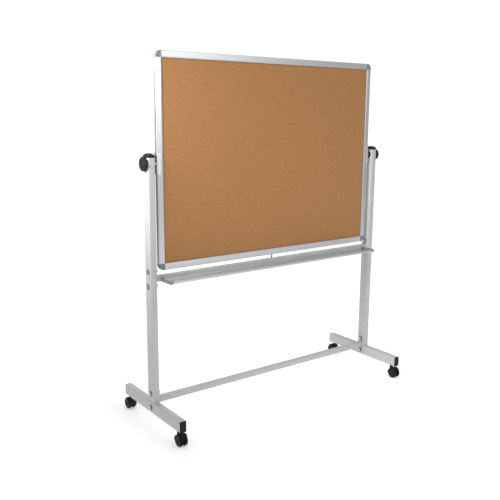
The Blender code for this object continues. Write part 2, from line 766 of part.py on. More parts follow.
def wheel_profile():
    """Radius and distance from the inner face, from the outer face's middle to the blind bore."""
    wide = WHEEL_OUTER - WHEEL_INNER
    bore = AXLE_RADIUS + GAP
    bore_depth = AXLE_HALF_LENGTH - WHEEL_INNER + HOOD_CLEAR
    return (
        (0, wide),
        (0.0065, wide),
        (0.0080, wide - 0.0020),
        (0.0175, wide - 0.0020),
        (0.0190, wide),
        (0.0220, wide),
        (WHEEL_RADIUS, wide - 0.0040),
        (WHEEL_RADIUS, 0.0012),
        (0.0238, 0),
        (bore, 0),
        (bore, bore_depth),
        (0, bore_depth),
    )


def make_caster(end, forward, side, sign):
    """Twin-wheel caster. Its wheels trail the stem towards the foot's end."""
    stem = Vector((sign * UPRIGHT_X, forward * CASTER_Y, 0))
    name = f"{end}_{side}"
    at = stem + Vector((0, 0, WHEEL_RADIUS))
    trail = forward * CASTER_TRAIL
    drum = cylinder_mesh(HOOD_RADIUS, 2 * HOOD_HALF_WIDTH, "X", 24, (0, trail, 0))
    hood = new_object(f"caster_hood_{name}", drum, BLACK_PLASTIC, at=at)
    boss_top = FOOT_BOTTOM - GAP - WHEEL_RADIUS
    boss = cylinder_mesh(BOSS_RADIUS, boss_top, sides=16, middle=(0, 0, boss_top / 2))
    combine(hood, "UNION", boss)
    skirt = 2 * HOOD_RADIUS
    below = box_mesh((skirt, 3 * skirt, skirt), (0, trail, -HOOD_SKIRT - skirt / 2))
    combine(hood, "DIFFERENCE", below)
    mouth_at = (0, trail + forward * (HOOD_BROW + skirt / 2), HOOD_BROW_TALL - skirt / 2)
    combine(hood, "DIFFERENCE", box_mesh((skirt, skirt, skirt), mouth_at))
    for _, wheel_sign in SIDES:
        room = HOOD_HALF_WIDTH
        room_at = (wheel_sign * (HOOD_WEB + room / 2), trail, 0)
        space = cylinder_mesh(WHEEL_RADIUS + HOOD_CLEAR, room, "X", 24, room_at)
        combine(hood, "DIFFERENCE", space)
    axle = cylinder_mesh(AXLE_RADIUS, 2 * AXLE_HALF_LENGTH, "X", middle=(0, trail, 0))
    sink = 0.004  # how far the stem reaches into the boss
    stem_tall = STEM_TOP - WHEEL_RADIUS - boss_top + sink
    stem_at = (0, 0, boss_top - sink + stem_tall / 2)
    combine(hood, "UNION", axle, cylinder_mesh(STEM_RADIUS, stem_tall, middle=stem_at))
    finish(hood)

    for wheel_side, wheel_sign in SIDES:
        wheel_name = f"caster_wheel_{name}_{wheel_side}"
        wheel_at = stem + Vector((wheel_sign * WHEEL_INNER, trail, WHEEL_RADIUS))
        wheel = turned_object(wheel_name, wheel_profile(), WHEEL_PLASTIC, 20, wheel_at)
        wheel.rotation_euler = (0, wheel_sign * math.pi / 2, 0)

    if end == "front":
        make_lever(name, stem + Vector((0, trail, WHEEL_RADIUS)), forward)


def make_lever(name, axle, forward):
    """Brake lever: an arc that slides over the hood about the axle, with a tab for the toe."""
    inner = HOOD_RADIUS + LEVER_GAP
    outer = inner + LEVER_THICK
    steps = 5
    turns = [LEVER_FROM + (LEVER_TO - LEVER_FROM) * i / steps for i in range(steps + 1)]
    outline = [(inner * math.cos(t), inner * math.sin(t)) for t in turns]
    outline += [(outer * math.cos(t), outer * math.sin(t)) for t in reversed(turns[1:])]
    tip = outer + LEVER_TAB - LEVER_THICK
    thick = math.radians(5)
    outline += [
        (outer * math.cos(LEVER_FROM + thick), outer * math.sin(LEVER_FROM + thick)),
        (tip * math.cos(LEVER_FROM + 0.7 * thick), tip * math.sin(LEVER_FROM + 0.7 * thick)),
        (tip * math.cos(LEVER_FROM), tip * math.sin(LEVER_FROM)),
    ]
    outline = [(forward * y, z) for y, z in outline]
    mesh = extruded_mesh([outline], 2 * LEVER_HALF_WIDTH, "X")
    finish(new_object(f"brake_lever_{name}", mesh, BLACK_PLASTIC, at=axle))


clear_scene()
PARTS = new_collection("rolling_whiteboard")
CUTTERS = new_collection("cutters")

ALUMINIUM = new_material("anodised_aluminium", (0.72, 0.73, 0.74), 0.32, 0.9)
GREY_PLASTIC = new_material("grey_plastic", (0.30, 0.32, 0.33), 0.5)
CORK = new_material("cork", (0.47, 0.24, 0.11), 0.9)
CARD = new_material("core_board", (0.45, 0.36, 0.24), 0.9)
WHITE_ENAMEL = new_material("white_enamel", (0.86, 0.87, 0.87), 0.15)
POWDER_COAT = new_material("powder_coat", (0.71, 0.71, 0.68), 0.5)
BLACK_PLASTIC = new_material("black_plastic", (0.02, 0.02, 0.022), 0.45)
WHEEL_PLASTIC = new_material("wheel_plastic", (0.03, 0.03, 0.032), 0.5)
ZINC = new_material("zinc", (0.55, 0.57, 0.60), 0.35, 1.0)

make_rails()
for corner_side, corner_sign in SIDES:
    make_corner(corner_side, corner_sign, "bottom", -1)
    make_corner(corner_side, corner_sign, "top", 1)
make_panel()
make_strike()
make_crossbars()
make_tray()
make_lock()
for stand_side, stand_sign in SIDES:
    make_pivot(stand_side, stand_sign)
    make_upright(stand_side, stand_sign)
    make_foot(stand_side, stand_sign)
    for foot_end, foot_forward in ENDS:
        make_caster(foot_end, foot_forward, stand_side, stand_sign)
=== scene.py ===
"""Looks of the rolling whiteboard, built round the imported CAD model.

Each piece takes its place and size from the CAD node that it stands for, and rides on that
node's body. Units are metres; X is along the board's width, -Y is the front, the cork side.
"""

import json
import math

import bmesh
import bpy
from mathutils import Matrix, Vector

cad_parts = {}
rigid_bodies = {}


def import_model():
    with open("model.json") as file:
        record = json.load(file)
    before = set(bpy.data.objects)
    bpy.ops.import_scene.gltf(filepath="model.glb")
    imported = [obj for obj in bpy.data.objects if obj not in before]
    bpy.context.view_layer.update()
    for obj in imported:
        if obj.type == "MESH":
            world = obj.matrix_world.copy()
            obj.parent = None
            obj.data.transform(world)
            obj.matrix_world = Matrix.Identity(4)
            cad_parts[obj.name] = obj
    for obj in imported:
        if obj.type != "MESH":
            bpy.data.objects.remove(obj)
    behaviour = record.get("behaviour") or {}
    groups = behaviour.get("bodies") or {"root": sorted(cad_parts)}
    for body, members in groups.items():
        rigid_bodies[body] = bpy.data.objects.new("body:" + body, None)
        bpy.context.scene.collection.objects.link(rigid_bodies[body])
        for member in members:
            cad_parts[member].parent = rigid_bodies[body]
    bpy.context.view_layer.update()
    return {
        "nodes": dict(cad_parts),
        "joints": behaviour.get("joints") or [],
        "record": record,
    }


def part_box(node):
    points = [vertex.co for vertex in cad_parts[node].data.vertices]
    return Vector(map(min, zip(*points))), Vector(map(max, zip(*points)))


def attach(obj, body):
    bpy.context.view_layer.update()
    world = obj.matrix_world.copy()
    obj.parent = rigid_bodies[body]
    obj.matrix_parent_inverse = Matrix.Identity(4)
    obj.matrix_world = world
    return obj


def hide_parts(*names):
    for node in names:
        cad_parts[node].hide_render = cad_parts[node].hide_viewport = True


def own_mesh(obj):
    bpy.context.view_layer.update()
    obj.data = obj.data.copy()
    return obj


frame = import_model()

RECORD = frame["record"]
BODY_OF = {
    node: body for body, nodes in RECORD["behaviour"]["bodies"].items() for node in nodes
}
SIDES = (("left", -1), ("right", 1))
ENDS = (("front", -1), ("rear", 1))

MM = 0.001

# Sockets of the Mix node that carry colours
FIRST_COLOUR = 6
SECOND_COLOUR = 7
MIXED_COLOUR = 2


# Meshes


def smooth(mesh, degrees=35):
    mesh.shade_smooth()
    mesh.set_sharp_from_angle(angle=math.radians(degrees))


def to_mesh(work, name):
    bmesh.ops.recalc_face_normals(work, faces=work.faces)
    mesh = bpy.data.meshes.new(name)
    work.to_mesh(mesh)
    work.free()
    return mesh


def add_ring(work, points):
    return [work.verts.new(point) for point in points]


def bridge(work, first, second, material=0):
    for i in range(len(first)):
        face = work.faces.new((first[i - 1], first[i], second[i], second[i - 1]))
        face.material_index = material


def join(work, first, second, material=0):
    """Faces between two loops, either of which may be a single point."""
    if len(first) > 1 and len(second) > 1:
        bridge(work, first, second, material)
        return
    tip, rim = (first[0], second) if len(first) == 1 else (second[0], first)
    for i in range(len(rim)):
        face = work.faces.new((rim[i - 1], rim[i], tip))
        face.material_index = material


def loft(work, rings, closed=False):
    """Skin over rings of points. The ends are capped unless the last ring meets the first."""
    loops = [add_ring(work, ring) for ring in rings]
    for first, second in zip(loops, loops[1:]):
        bridge(work, first, second)
    if closed:
        bridge(work, loops[-1], loops[0])
    else:
        work.faces.new(loops[0])
        work.faces.new(loops[-1])


def along(axis, u, v, w):
    """Point whose part along axis is w. u and v are the other two, in X, Y, Z order."""
    return Vector({"X": (w, u, v), "Y": (u, w, v), "Z": (u, v, w)}[axis])


def prism(work, outline, start, end, axis="Z", at=(0, 0, 0)):
    """Bar of that section."""
    at = Vector(at)
    loft(work, [[at + along(axis, u, v, w) for u, v in outline] for w in (start, end)])


def rounded_rect(wide, tall, radius, steps=6):
    points = []
    for su, sv, first in ((1, -1, -90), (1, 1, 0), (-1, 1, 90), (-1, -1, 180)):
        cu = su * (wide / 2 - radius)
        cv = sv * (tall / 2 - radius)
        for i in range(steps + 1):
            angle = math.radians(first + 90 * i / steps)
            points.append((cu + radius * math.cos(angle), cv + radius * math.sin(angle)))
    return points


def circle(radius, count=48):
    turns = (2 * math.pi * i / count for i in range(count))
    return [(radius * math.cos(t), radius * math.sin(t)) for t in turns]


def turned(work, profile, axis="Z", at=(0, 0, 0), count=48, sign=1, materials=None):
    """Solid of revolution. The profile is (radius, height) pairs; a radius of 0 closes an end."""
    at = Vector(at)
    loops = []
    for radius, height in profile:
        if radius == 0:
            loops.append([work.verts.new(at + along(axis, 0, 0, sign * height))])
        else:
            ring = [at + along(axis, u, v, sign * height) for u, v in circle(radius, count)]
            loops.append(add_ring(work, ring))
    closed = profile[0][0] != 0
    pairs = list(zip(loops, loops[1:])) + ([(loops[-1], loops[0])] if closed else [])
    for i, (first, second) in enumerate(pairs):
        join(work, first, second, materials[i] if materials else 0)


def arc(middle, radius, first, last, steps):
    """Points of an arc, with its angles in degrees."""
    points = []
    for i in range(steps + 1):
        angle = math.radians(first + (last - first) * i / steps)
        points.append((middle[0] + radius * math.cos(angle), middle[1] + radius * math.sin(angle)))
    return points


def mark(work, first, material):
    """Gives the faces made since a count the material with that index."""
    work.faces.ensure_lookup_table()
    for face in work.faces[first:]:
        face.material_index = material


def show(name, mesh, nodes, materials, degrees=35, bevel=0.0):
    """Puts a finished piece in place of its CAD nodes and on their body."""
    piece = bpy.data.objects.new(name, mesh)
    bpy.context.scene.collection.objects.link(piece)
    for material in materials:
        mesh.materials.append(material)
    smooth(mesh, degrees)
    if bevel:
        edge = piece.modifiers.new("Edges", "BEVEL")
        edge.width = bevel
        edge.segments = 3
        edge.limit_method = "ANGLE"
        edge.angle_limit = math.radians(degrees)
        edge.harden_normals = True
    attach(piece, BODY_OF[nodes[0]])
    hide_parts(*nodes)
    return piece


def drill(piece, axis, at, radius, reach):
    """Cuts a round hole, as far to each side of the point as its reach."""
    work = bmesh.new()
    profile = [(0.0, -reach), (radius, -reach), (radius, reach), (0.0, reach)]
    turned(work, profile, axis, at, 32)
    tool = bpy.data.objects.new("drill", to_mesh(work, "drill"))
    bpy.context.scene.collection.objects.link(tool)
    tool.parent = piece.parent
    tool.matrix_world = piece.matrix_world.copy()
    cut = piece.modifiers.new("Hole", "BOOLEAN")
    cut.operation = "DIFFERENCE"
    cut.solver = "EXACT"
    cut.object = tool
    graph = bpy.context.evaluated_depsgraph_get()
    made = bpy.data.meshes.new_from_object(piece.evaluated_get(graph))
    piece.modifiers.clear()
    piece.data = made
    smooth(piece.data, 30)
    bpy.data.objects.remove(tool)


def node_box(node):
    low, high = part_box(node)
    return low, high, (low + high) / 2, high - low


# Materials


class Shader:
    """A Principled material and the nodes that pattern it."""

    def __init__(self, name, colour, roughness, metallic=0.0, coat=0.0, specular=0.5):
        self.material = bpy.data.materials.new(name)
        self.material.use_nodes = True
        self.tree = self.material.node_tree
        self.base = self.tree.nodes["Principled BSDF"]
        self.set(self.base, "Base Color", (*colour, 1))
        self.set(self.base, "Roughness", roughness)
        self.set(self.base, "Metallic", metallic)
        self.set(self.base, "Coat Weight", coat)
        self.set(self.base, "Coat Roughness", 0.12)
        self.set(self.base, "Specular IOR Level", specular)
        self.where = self.tree.nodes.new("ShaderNodeTexCoord").outputs["Object"]

    def set(self, node, socket, value):
        if isinstance(value, bpy.types.NodeSocket):
            self.tree.links.new(value, node.inputs[socket])
        else:
            node.inputs[socket].default_value = value

    def node(self, kind, **sockets):
        made = self.tree.nodes.new("ShaderNode" + kind)
        for socket, value in sockets.items():
            self.set(made, socket.replace("_", " "), value)
        return made

    def stretched(self, scale):
        return self.node("Mapping", Vector=self.where, Scale=scale).outputs[0]

    def noise(self, scale, detail=3.0, rough=0.5, where=None):
        made = self.node("TexNoise", Vector=where or self.where, Scale=scale)
        self.set(made, "Detail", detail)
        self.set(made, "Roughness", rough)
        return made.outputs["Fac"]

    def cells(self, scale, feature="F1", where=None):
        made = self.tree.nodes.new("ShaderNodeTexVoronoi")
        made.feature = feature
        self.set(made, "Vector", where or self.where)
        self.set(made, "Scale", scale)
        return made

    def range(self, value, low, high, to_low, to_high):
        made = self.node("MapRange", Value=value)
        self.set(made, "From Min", low)
        self.set(made, "From Max", high)
        self.set(made, "To Min", to_low)
        self.set(made, "To Max", to_high)
        return made.outputs["Result"]

    def maths(self, operation, first, second=0.0):
        made = self.node("Math")
        made.operation = operation
        self.set(made, 0, first)
        self.set(made, 1, second)
        return made.outputs[0]

    def blend(self, share, first, second):
        made = self.tree.nodes.new("ShaderNodeMix")
        made.data_type = "RGBA"
        made.clamp_factor = True
        self.set(made, "Factor", share)
        for socket, value in ((FIRST_COLOUR, first), (SECOND_COLOUR, second)):
            if isinstance(value, tuple):
                made.inputs[socket].default_value = (*value, 1)
            else:
                self.tree.links.new(value, made.inputs[socket])
        return made.outputs[MIXED_COLOUR]

    def bump(self, height, strength, distance, under=None):
        made = self.node("Bump", Height=height, Strength=strength, Distance=distance)
        if under:
            self.set(made, "Normal", under)
        self.set(self.base, "Normal", made.outputs["Normal"])
        return made.outputs["Normal"]

    def colour(self, value):
        self.set(self.base, "Base Color", value)

    def roughness(self, value):
        self.set(self.base, "Roughness", value)


def powder_coat():
    """Off-white coat with a fine orange-peel surface and the faintest of smudges."""
    s = Shader("powder_coat", (0.64, 0.645, 0.62), 0.42)
    smudge = s.range(s.noise(7.0, 4.0), 0.35, 0.7, 0.0, 1.0)
    s.colour(s.blend(smudge, (0.530, 0.535, 0.515), (0.500, 0.507, 0.485)))
    s.roughness(s.range(s.noise(35.0, 4.0), 0.3, 0.7, 0.36, 0.50))
    s.bump(s.noise(1100.0, 2.0), 0.10, 0.0003)
    return s.material


def aluminium(name, scale, shade=1.0):
    """Satin anodised metal with drawing lines along one axis."""
    s = Shader(name, (0.80, 0.81, 0.82), 0.34, 0.9)
    lines = s.noise(1.0, 5.0, 0.7, s.stretched(scale))
    streak = s.range(lines, 0.3, 0.7, 0.0, 1.0)
    light = tuple(shade * c for c in (0.80, 0.815, 0.83))
    dark = tuple(shade * c for c in (0.70, 0.715, 0.73))
    s.colour(s.blend(streak, light, dark))
    s.roughness(s.range(lines, 0.3, 0.7, 0.27, 0.40))
    s.bump(lines, 0.08, 0.0002)
    return s.material


def moulded_plastic(name, dark, light, rough=(0.38, 0.55), specular=0.5):
    """Moulded plastic with a spark-eroded grain and a little unevenness in its gloss."""
    s = Shader(name, dark, rough[0], specular=specular)
    patch = s.range(s.noise(60.0, 4.0), 0.35, 0.7, 0.0, 1.0)
    s.colour(s.blend(patch, dark, light))
    s.roughness(s.range(s.noise(140.0, 3.0), 0.3, 0.7, *rough))
    s.bump(s.noise(900.0, 2.0), 0.18, 0.0002)
    return s.material


def frame_lip_shadow(s):
    """Painted shadow: how far the cork is darkened along the frame's inner edges, standing for the
    shade that the frame's lip casts on it.
    """
    low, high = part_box("cork_sheet")
    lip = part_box("frame_rail_left")[1].x
    hidden = abs(low.x - lip)
    place = s.node("SeparateXYZ", Vector=s.where)
    shares = []
    for name, axis in (("X", 0), ("Z", 2)):
        middle = (low[axis] + high[axis]) / 2
        edge = (high[axis] - low[axis]) / 2 - hidden
        away = s.maths("ABSOLUTE", s.maths("SUBTRACT", place.outputs[name], middle))
        shares.append(s.range(away, edge - 6 * MM, edge - 1 * MM, 0.0, 0.62))
    return s.maths("MAXIMUM", *shares)


def cork():
    """Pressed granules of cork: cells of differing tan, dark crumbs of bark, and fine pores."""
    s = Shader("cork", (0.45, 0.22, 0.085), 0.85, specular=0.25)
    wobble = s.node("TexNoise", Vector=s.where, Scale=420.0)
    bent = s.node("VectorMath")
    bent.operation = "MULTIPLY_ADD"
    s.set(bent, 0, wobble.outputs["Color"])
    bent.inputs[1].default_value = (0.0012, 0.0012, 0.0012)
    s.set(bent, 2, s.where)
    granule = s.cells(330.0, where=bent.outputs[0])
    tone = s.node("SeparateColor", Color=granule.outputs["Color"])
    base = s.blend(tone.outputs[0], (0.365, 0.174, 0.066), (0.494, 0.245, 0.099))
    warm = s.range(tone.outputs[1], 0.0, 1.0, 0.0, 0.35)
    base = s.blend(warm, base, (0.442, 0.193, 0.066))
    mottle = s.range(s.noise(28.0, 5.0, 0.6), 0.3, 0.7, 0.0, 0.30)
    base = s.blend(mottle, base, (0.399, 0.192, 0.073))
    crumb = s.cells(150.0, where=bent.outputs[0])
    crumb_pick = s.node("SeparateColor", Color=crumb.outputs["Color"])
    near = s.range(crumb.outputs["Distance"], 0.14, 0.30, 1.0, 0.0)
    few = s.range(crumb_pick.outputs[0], 0.80, 0.86, 0.0, 0.75)
    base = s.blend(s.maths("MULTIPLY", near, few), base, (0.165, 0.070, 0.028))
    # Painted shadow: the cork is darkened in a narrow band along the frame's inner edges.
    s.colour(s.blend(frame_lip_shadow(s), base, (0.150, 0.066, 0.026)))
    s.roughness(s.range(s.noise(240.0), 0.3, 0.7, 0.78, 0.95))
    edges = s.cells(330.0, "DISTANCE_TO_EDGE", where=bent.outputs[0])
    seams = s.range(edges.outputs["Distance"], 0.0, 0.12, 0.0, 1.0)
    first = s.bump(seams, 0.35, 0.0004)
    s.bump(s.noise(1500.0, 3.0), 0.25, 0.0003, first)
    return s.material


def white_enamel():
    """Glossy dry-wipe enamel with the ghost of wiped marks."""
    s = Shader("white_enamel", (0.85, 0.86, 0.86), 0.12, coat=0.4)
    wipes = s.noise(1.0, 4.0, 0.6, s.stretched((3.0, 3.0, 11.0)))
    ghost = s.range(wipes, 0.45, 0.75, 0.0, 0.6)
    s.colour(s.blend(ghost, (0.860, 0.868, 0.870), (0.800, 0.812, 0.822)))
    s.roughness(s.range(wipes, 0.3, 0.75, 0.09, 0.20))
    s.bump(s.noise(9.0, 2.0), 0.03, 0.001)
    return s.material


def core_board():
    s = Shader("core_board", (0.42, 0.31, 0.19), 0.9)
    fibres = s.noise(1.0, 5.0, 0.7, s.stretched((90.0, 400.0, 400.0)))
    s.colour(s.blend(fibres, (0.34, 0.24, 0.14), (0.50, 0.38, 0.24)))
    s.bump(fibres, 0.3, 0.0004)
    return s.material


def zinc(name="zinc", tint=(0.56, 0.63, 0.68), rough=(0.24, 0.42), darker=0.62):
    """Bright zinc plate: bluish metal, its gloss broken by fine spangle and handling marks."""
    s = Shader(name, tint, rough[0], 1.0)
    spangle = s.cells(420.0)
    tone = s.node("SeparateColor", Color=spangle.outputs["Color"])
    dull = tuple(darker * c for c in tint)
    s.colour(s.blend(s.range(tone.outputs[0], 0.0, 1.0, 0.0, 0.5), tint, dull))
    s.roughness(s.range(s.noise(300.0, 4.0), 0.3, 0.7, *rough))
    s.bump(s.noise(900.0, 2.0), 0.08, 0.0002)
    return s.material


POWDER = powder_coat()
RAIL_X = aluminium("aluminium_drawn_x", (6.0, 900.0, 900.0), 0.97)
RAIL_Z = aluminium("aluminium_drawn_z", (900.0, 900.0, 6.0), 0.93)
# Darker copy of the rail metal for the channel in the rails' outer side: painted shade.
RAIL_CHANNEL_SHADE = aluminium("aluminium_channel_painted_shade", (900.0, 900.0, 6.0), 0.42)
GREY = moulded_plastic("grey_plastic", (0.205, 0.217, 0.218), (0.240, 0.252, 0.253))
BLACK = moulded_plastic(
    "black_plastic", (0.009, 0.009, 0.009), (0.015, 0.015, 0.015), (0.5, 0.65), 0.2
)
TYRE = moulded_plastic(
    "wheel_tread", (0.006, 0.006, 0.006), (0.010, 0.010, 0.010), (0.5, 0.7), 0.12
)
HUB = moulded_plastic(
    "wheel_hub", (0.008, 0.008, 0.009), (0.014, 0.014, 0.015), (0.3, 0.45), 0.2
)
CORK = cork()
ENAMEL = white_enamel()
CORE = core_board()
ZINC = zinc()
ZINC_DARK = zinc("zinc_washer", (0.12, 0.21, 0.24), (0.30, 0.48), 0.7)
STEEL = zinc("plated_bracket", (0.84, 0.87, 0.87), (0.34, 0.46), 0.93)
# Darker copy of the bracket plate for its web in the gap beside the upright: painted shade.
BRACKET_WEB_SHADE = zinc("bracket_web_painted_shade", (0.26, 0.29, 0.29), (0.40, 0.55), 0.7)
TRAY = aluminium("aluminium_tray", (6.0, 900.0, 900.0), 0.80)


def paint_node(node, material):
    """Gives a CAD node that is shown as it is its finished material."""
    mesh = frame["nodes"][node].data
    mesh.materials.clear()
    mesh.materials.append(material)


# Board

RAIL_FACE_MM = 28.0  # the rail's width as seen from the front
SLOT_HALF = 8.3 * MM  # half the thickness of the slot that holds the panel
SLOT_FLOOR = 12.0 * MM  # from the outer side to the slot's floor
STRIKE_HOLE = (5.6 * MM, 9 * MM)  # radius and reach of the hole in the bottom rail
PIN_HOLE = (3.6 * MM, 6 * MM)  # and of the one in the top rail


def rail_section():
    """Half of a rail's section, from the panel's slot round to the rail's outer side.

    Points are (in from the outer side, out from the panel's middle plane).
    """
    lip = [
        (RAIL_FACE_MM, 8.3),
        (RAIL_FACE_MM, 8.9),
        (27.7, 9.3),
        (27.1, 9.55),
        (26.3, 9.5),
        (25.6, 9.2),
        (25.1, 8.85),
        (24.6, 8.85),
        (24.3, 9.2),
        (24.0, 9.7),
        (23.5, 9.95),
        (22.9, 10.0),
    ]
    grooves = []
    for place in (19.0, 12.5, 6.6):
        grooves += [(place + 0.5, 10.0), (place + 0.3, 9.72), (place - 0.3, 9.72)]
        grooves.append((place - 0.5, 10.0))
    corner = arc((3.2, 6.8), 3.2, 90, 180, 8)
    side = [(0.0, 4.6), (0.9, 3.9), (0.9, 0.0)]
    return [(x * MM, y * MM) for x, y in lip + grooves + corner + side]


def rail_outline(inset):
    half = rail_section()
    back = [(x, -y) for x, y in reversed(half[:-1])]
    slot = [(RAIL_FACE_MM * MM, -SLOT_HALF), (inset, -SLOT_HALF), (inset, SLOT_HALF)]
    return half + back[:-1] + slot


def make_rails():
    board_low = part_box("frame_rail_bottom")[0]
    board_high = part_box("frame_rail_top")[1]
    outline = rail_outline(SLOT_FLOOR)
    for side, sign in SIDES:
        node = f"frame_rail_{side}"
        low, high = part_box(node)
        outer = high.x if sign > 0 else low.x
        work = bmesh.new()
        rings = [[Vector((outer - sign * x, y, z)) for x, y in outline] for z in (low.z, high.z)]
        loft(work, rings)
        paint_channel_shade(work, "x", outer)
        show(f"rail_{side}", to_mesh(work, node), [node], [RAIL_Z, RAIL_CHANNEL_SHADE], 30)
    for name, outer, sign, hole in (
        ("bottom", board_low.z, -1, STRIKE_HOLE),
        ("top", board_high.z, 1, PIN_HOLE),
    ):
        node = f"frame_rail_{name}"
        low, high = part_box(node)
        work = bmesh.new()
        rings = [[Vector((x, y, outer - sign * z)) for z, y in outline] for x in (low.x, high.x)]
        loft(work, rings)
        paint_channel_shade(work, "z", outer)
        rail = show(f"rail_{name}", to_mesh(work, node), [node], [RAIL_X, RAIL_CHANNEL_SHADE], 30)
        drill(rail, "Z", (0, 0, outer), *hole)


def paint_channel_shade(work, axis, outer):
    """Gives the sunken channel in a rail's outer side a darker copy of the rail's metal: painted
    shade for the recess.
    """
    for face in work.faces:
        middle = face.calc_center_median()
        if abs(getattr(middle, axis) - outer) < 1.0 * MM and abs(middle.y) < 4.0 * MM:
            face.material_index = 1


def make_corner(side, sign, name, up):
    """Quarter-round cap with rounded edges, a dished face and a step where it meets the rails."""
    node = f"corner_cap_{name}_{side}"
    low, high, _, size = node_box(node)
    outer_x = high.x if sign > 0 else low.x
    outer_z = high.z if up > 0 else low.z
    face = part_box(f"frame_rail_{side}")
    wide = face[1].x - face[0].x
    half = size.y / 2
    radius = 25 * MM
    steps = 16

    def outline(inset):
        points = arc((radius, radius), radius - inset, 180, 270, steps)
        points.append((wide, inset))
        points.append((wide, wide))
        points.append((inset, wide))
        return points

    def ring(inset, depth, back=0.0):
        points = []
        for i, (x, z) in enumerate(outline(inset)):
            if i > steps:
                x, z = min(x, wide - back), min(z, wide - back)
            points.append(Vector((outer_x - sign * x, depth, outer_z - up * z)))
        return points

    rim = 3.2 * MM
    rings = []
    curve = [(rim * (1 - math.cos(a)), rim * (1 - math.sin(a))) for a in
             (math.radians(90 * i / 6) for i in range(7))]
    front = [(5.4 * MM, half - 0.7 * MM, 2.2 * MM), (4.6 * MM, half, 1.4 * MM)]
    for inset, depth, back in front:
        rings.append(ring(inset, -depth, back))
    for inset, drop in reversed(curve):
        rings.append(ring(inset, -(half - drop)))
    for inset, drop in curve:
        rings.append(ring(inset, half - drop))
    for inset, depth, back in reversed(front):
        rings.append(ring(inset, depth, back))
    work = bmesh.new()
    loft(work, rings)
    show(f"corner_{name}_{side}", to_mesh(work, node), [node], [GREY], 30)


def make_board():
    make_rails()
    for side, sign in SIDES:
        make_corner(side, sign, "bottom", -1)
        make_corner(side, sign, "top", 1)
    paint_node("cork_sheet", CORK)
    paint_node("board_core", CORE)
    paint_node("whiteboard_sheet", ENAMEL)


# Fasteners


def hex_head(work, start, tall, radius, axis, at, sign):
    """Hexagonal head whose far corners are chamfered."""
    at = Vector(at)
    count = 36
    rings = []
    levels = ((0.0, 0.0), (0.0, tall - 0.9 * MM), (0.7 * MM, tall - 0.2 * MM), (1.6 * MM, tall))
    for inset, height in levels:
        ring = []
        for i in range(count):
            turn = 2 * math.pi * i / count
            sixth = (turn + math.pi / 6) % (math.pi / 3) - math.pi / 6
            flat = radius * math.cos(math.pi / 6) / math.cos(math.pi / 6 - abs(sixth))
            reach = min(flat, radius - inset) - inset * 0.15
            u, v = reach * math.cos(turn), reach * math.sin(turn)
            ring.append(at + along(axis, u, v, sign * (start + height)))
        rings.append(ring)
    loft(work, rings)


def washer(work, start, thick, radius, bore, axis, at, sign):
    edge = 0.4 * MM
    profile = [
        (bore, start),
        (radius - edge, start),
        (radius, start + edge),
        (radius, start + thick - edge),
        (radius - edge, start + thick),
        (bore, start + thick),
    ]
    turned(work, profile, axis, at, 40, sign)


def threaded(start, end, radius):
    """Profile of a shank whose ridges read as a thread."""
    pitch, depth = 1.0 * MM, 0.35 * MM
    points = [(0.0, start), (radius - depth, start)]
    count = int((end - start) / pitch)
    for i in range(count):
        at = start + i * pitch
        points.append((radius - depth, at + 0.1 * pitch))
        points.append((radius, at + 0.5 * pitch))
        points.append((radius - depth, at + 0.9 * pitch))
    points.append((radius - depth, end))
    points.append((0.0, end))
    return points


def make_bar_bolt(node, sign):
    """Hex bolt with a washer at each end and a nut inside."""
    low, high, middle, _ = node_box(node)
    outer = high.x if sign > 0 else low.x
    inner = low.x if sign > 0 else high.x
    at = Vector((0, middle.y, middle.z))
    head_tall, nut_tall, plate = 5.5 * MM, 6.5 * MM, 1.6 * MM
    corner, rim, shank = 8.5 * MM, 11.0 * MM, 4.0 * MM
    work = bmesh.new()
    head = abs(outer) - head_tall
    nut = abs(inner) + 1.0 * MM
    washer(work, head - plate, plate, rim, shank - 0.3 * MM, "X", at, sign)
    washer(work, nut + nut_tall, plate, rim, shank - 0.3 * MM, "X", at, sign)
    mark(work, 0, 1)
    hex_head(work, head, head_tall, corner, "X", at, sign)
    hex_head(work, -(nut + nut_tall), nut_tall, corner, "X", at, -sign)
    turned(work, threaded(abs(inner), head, shank), "X", at, 24, sign)
    show(f"{node}_look", to_mesh(work, node), [node], [ZINC, ZINC_DARK], 30)


# Stand


def tube(work, outline_size, radius, start, end, axis, at):
    wide, tall = outline_size
    prism(work, rounded_rect(wide, tall, radius, 8), start, end, axis, at)


def weld_bead(work, wide, deep, corner, at, size, axis="Z"):
    """Rippled bead round the foot of a tube that stands on a flat face."""
    gap = 0.2 * MM
    path = rounded_rect(wide + 2 * gap, deep + 2 * gap, corner + gap, 6)
    points = []
    for i, (u, v) in enumerate(path):
        before = Vector(path[i - 1])
        here = Vector((u, v))
        count = max(1, round((here - before).length / (1.6 * MM)))
        points += [before.lerp(here, k / count) for k in range(1, count + 1)]
    total = len(points)
    rings = []
    for i, point in enumerate(points):
        ahead = points[(i + 1) % total] - points[i - 1]
        out = Vector((ahead.y, -ahead.x)).normalized()
        reach = size * (1 + 0.16 * math.sin(i * 2.1))
        ring = []
        for k in range(7):
            angle = math.radians(180 * k / 6 - 45)
            du = out * reach * math.cos(angle)
            rise = reach * math.sin(angle)
            ring.append(Vector(at) + along(axis, point.x + du.x, point.y + du.y, rise))
        rings.append(ring)
    loft(work, rings, closed=True)


def dome(work, middle, wide, deep, base, rise, reach_x, reach_y, drop):
    """Cap with curved shoulders."""
    steps = 14
    rings = [
        [Vector((middle.x + u, middle.y + v, base)) for u, v in rounded_rect(wide, deep, 3 * MM)]
    ]
    for i in range(steps + 1):
        angle = math.radians(90 * i / steps)
        inset = 2 * (1 - math.cos(angle))
        outline = rounded_rect(wide - inset * reach_x, deep - inset * reach_y, 3 * MM)
        z = base + rise - drop * (1 - math.sin(angle))
        rings.append([Vector((middle.x + u, middle.y + v, z)) for u, v in outline])
    loft(work, rings)


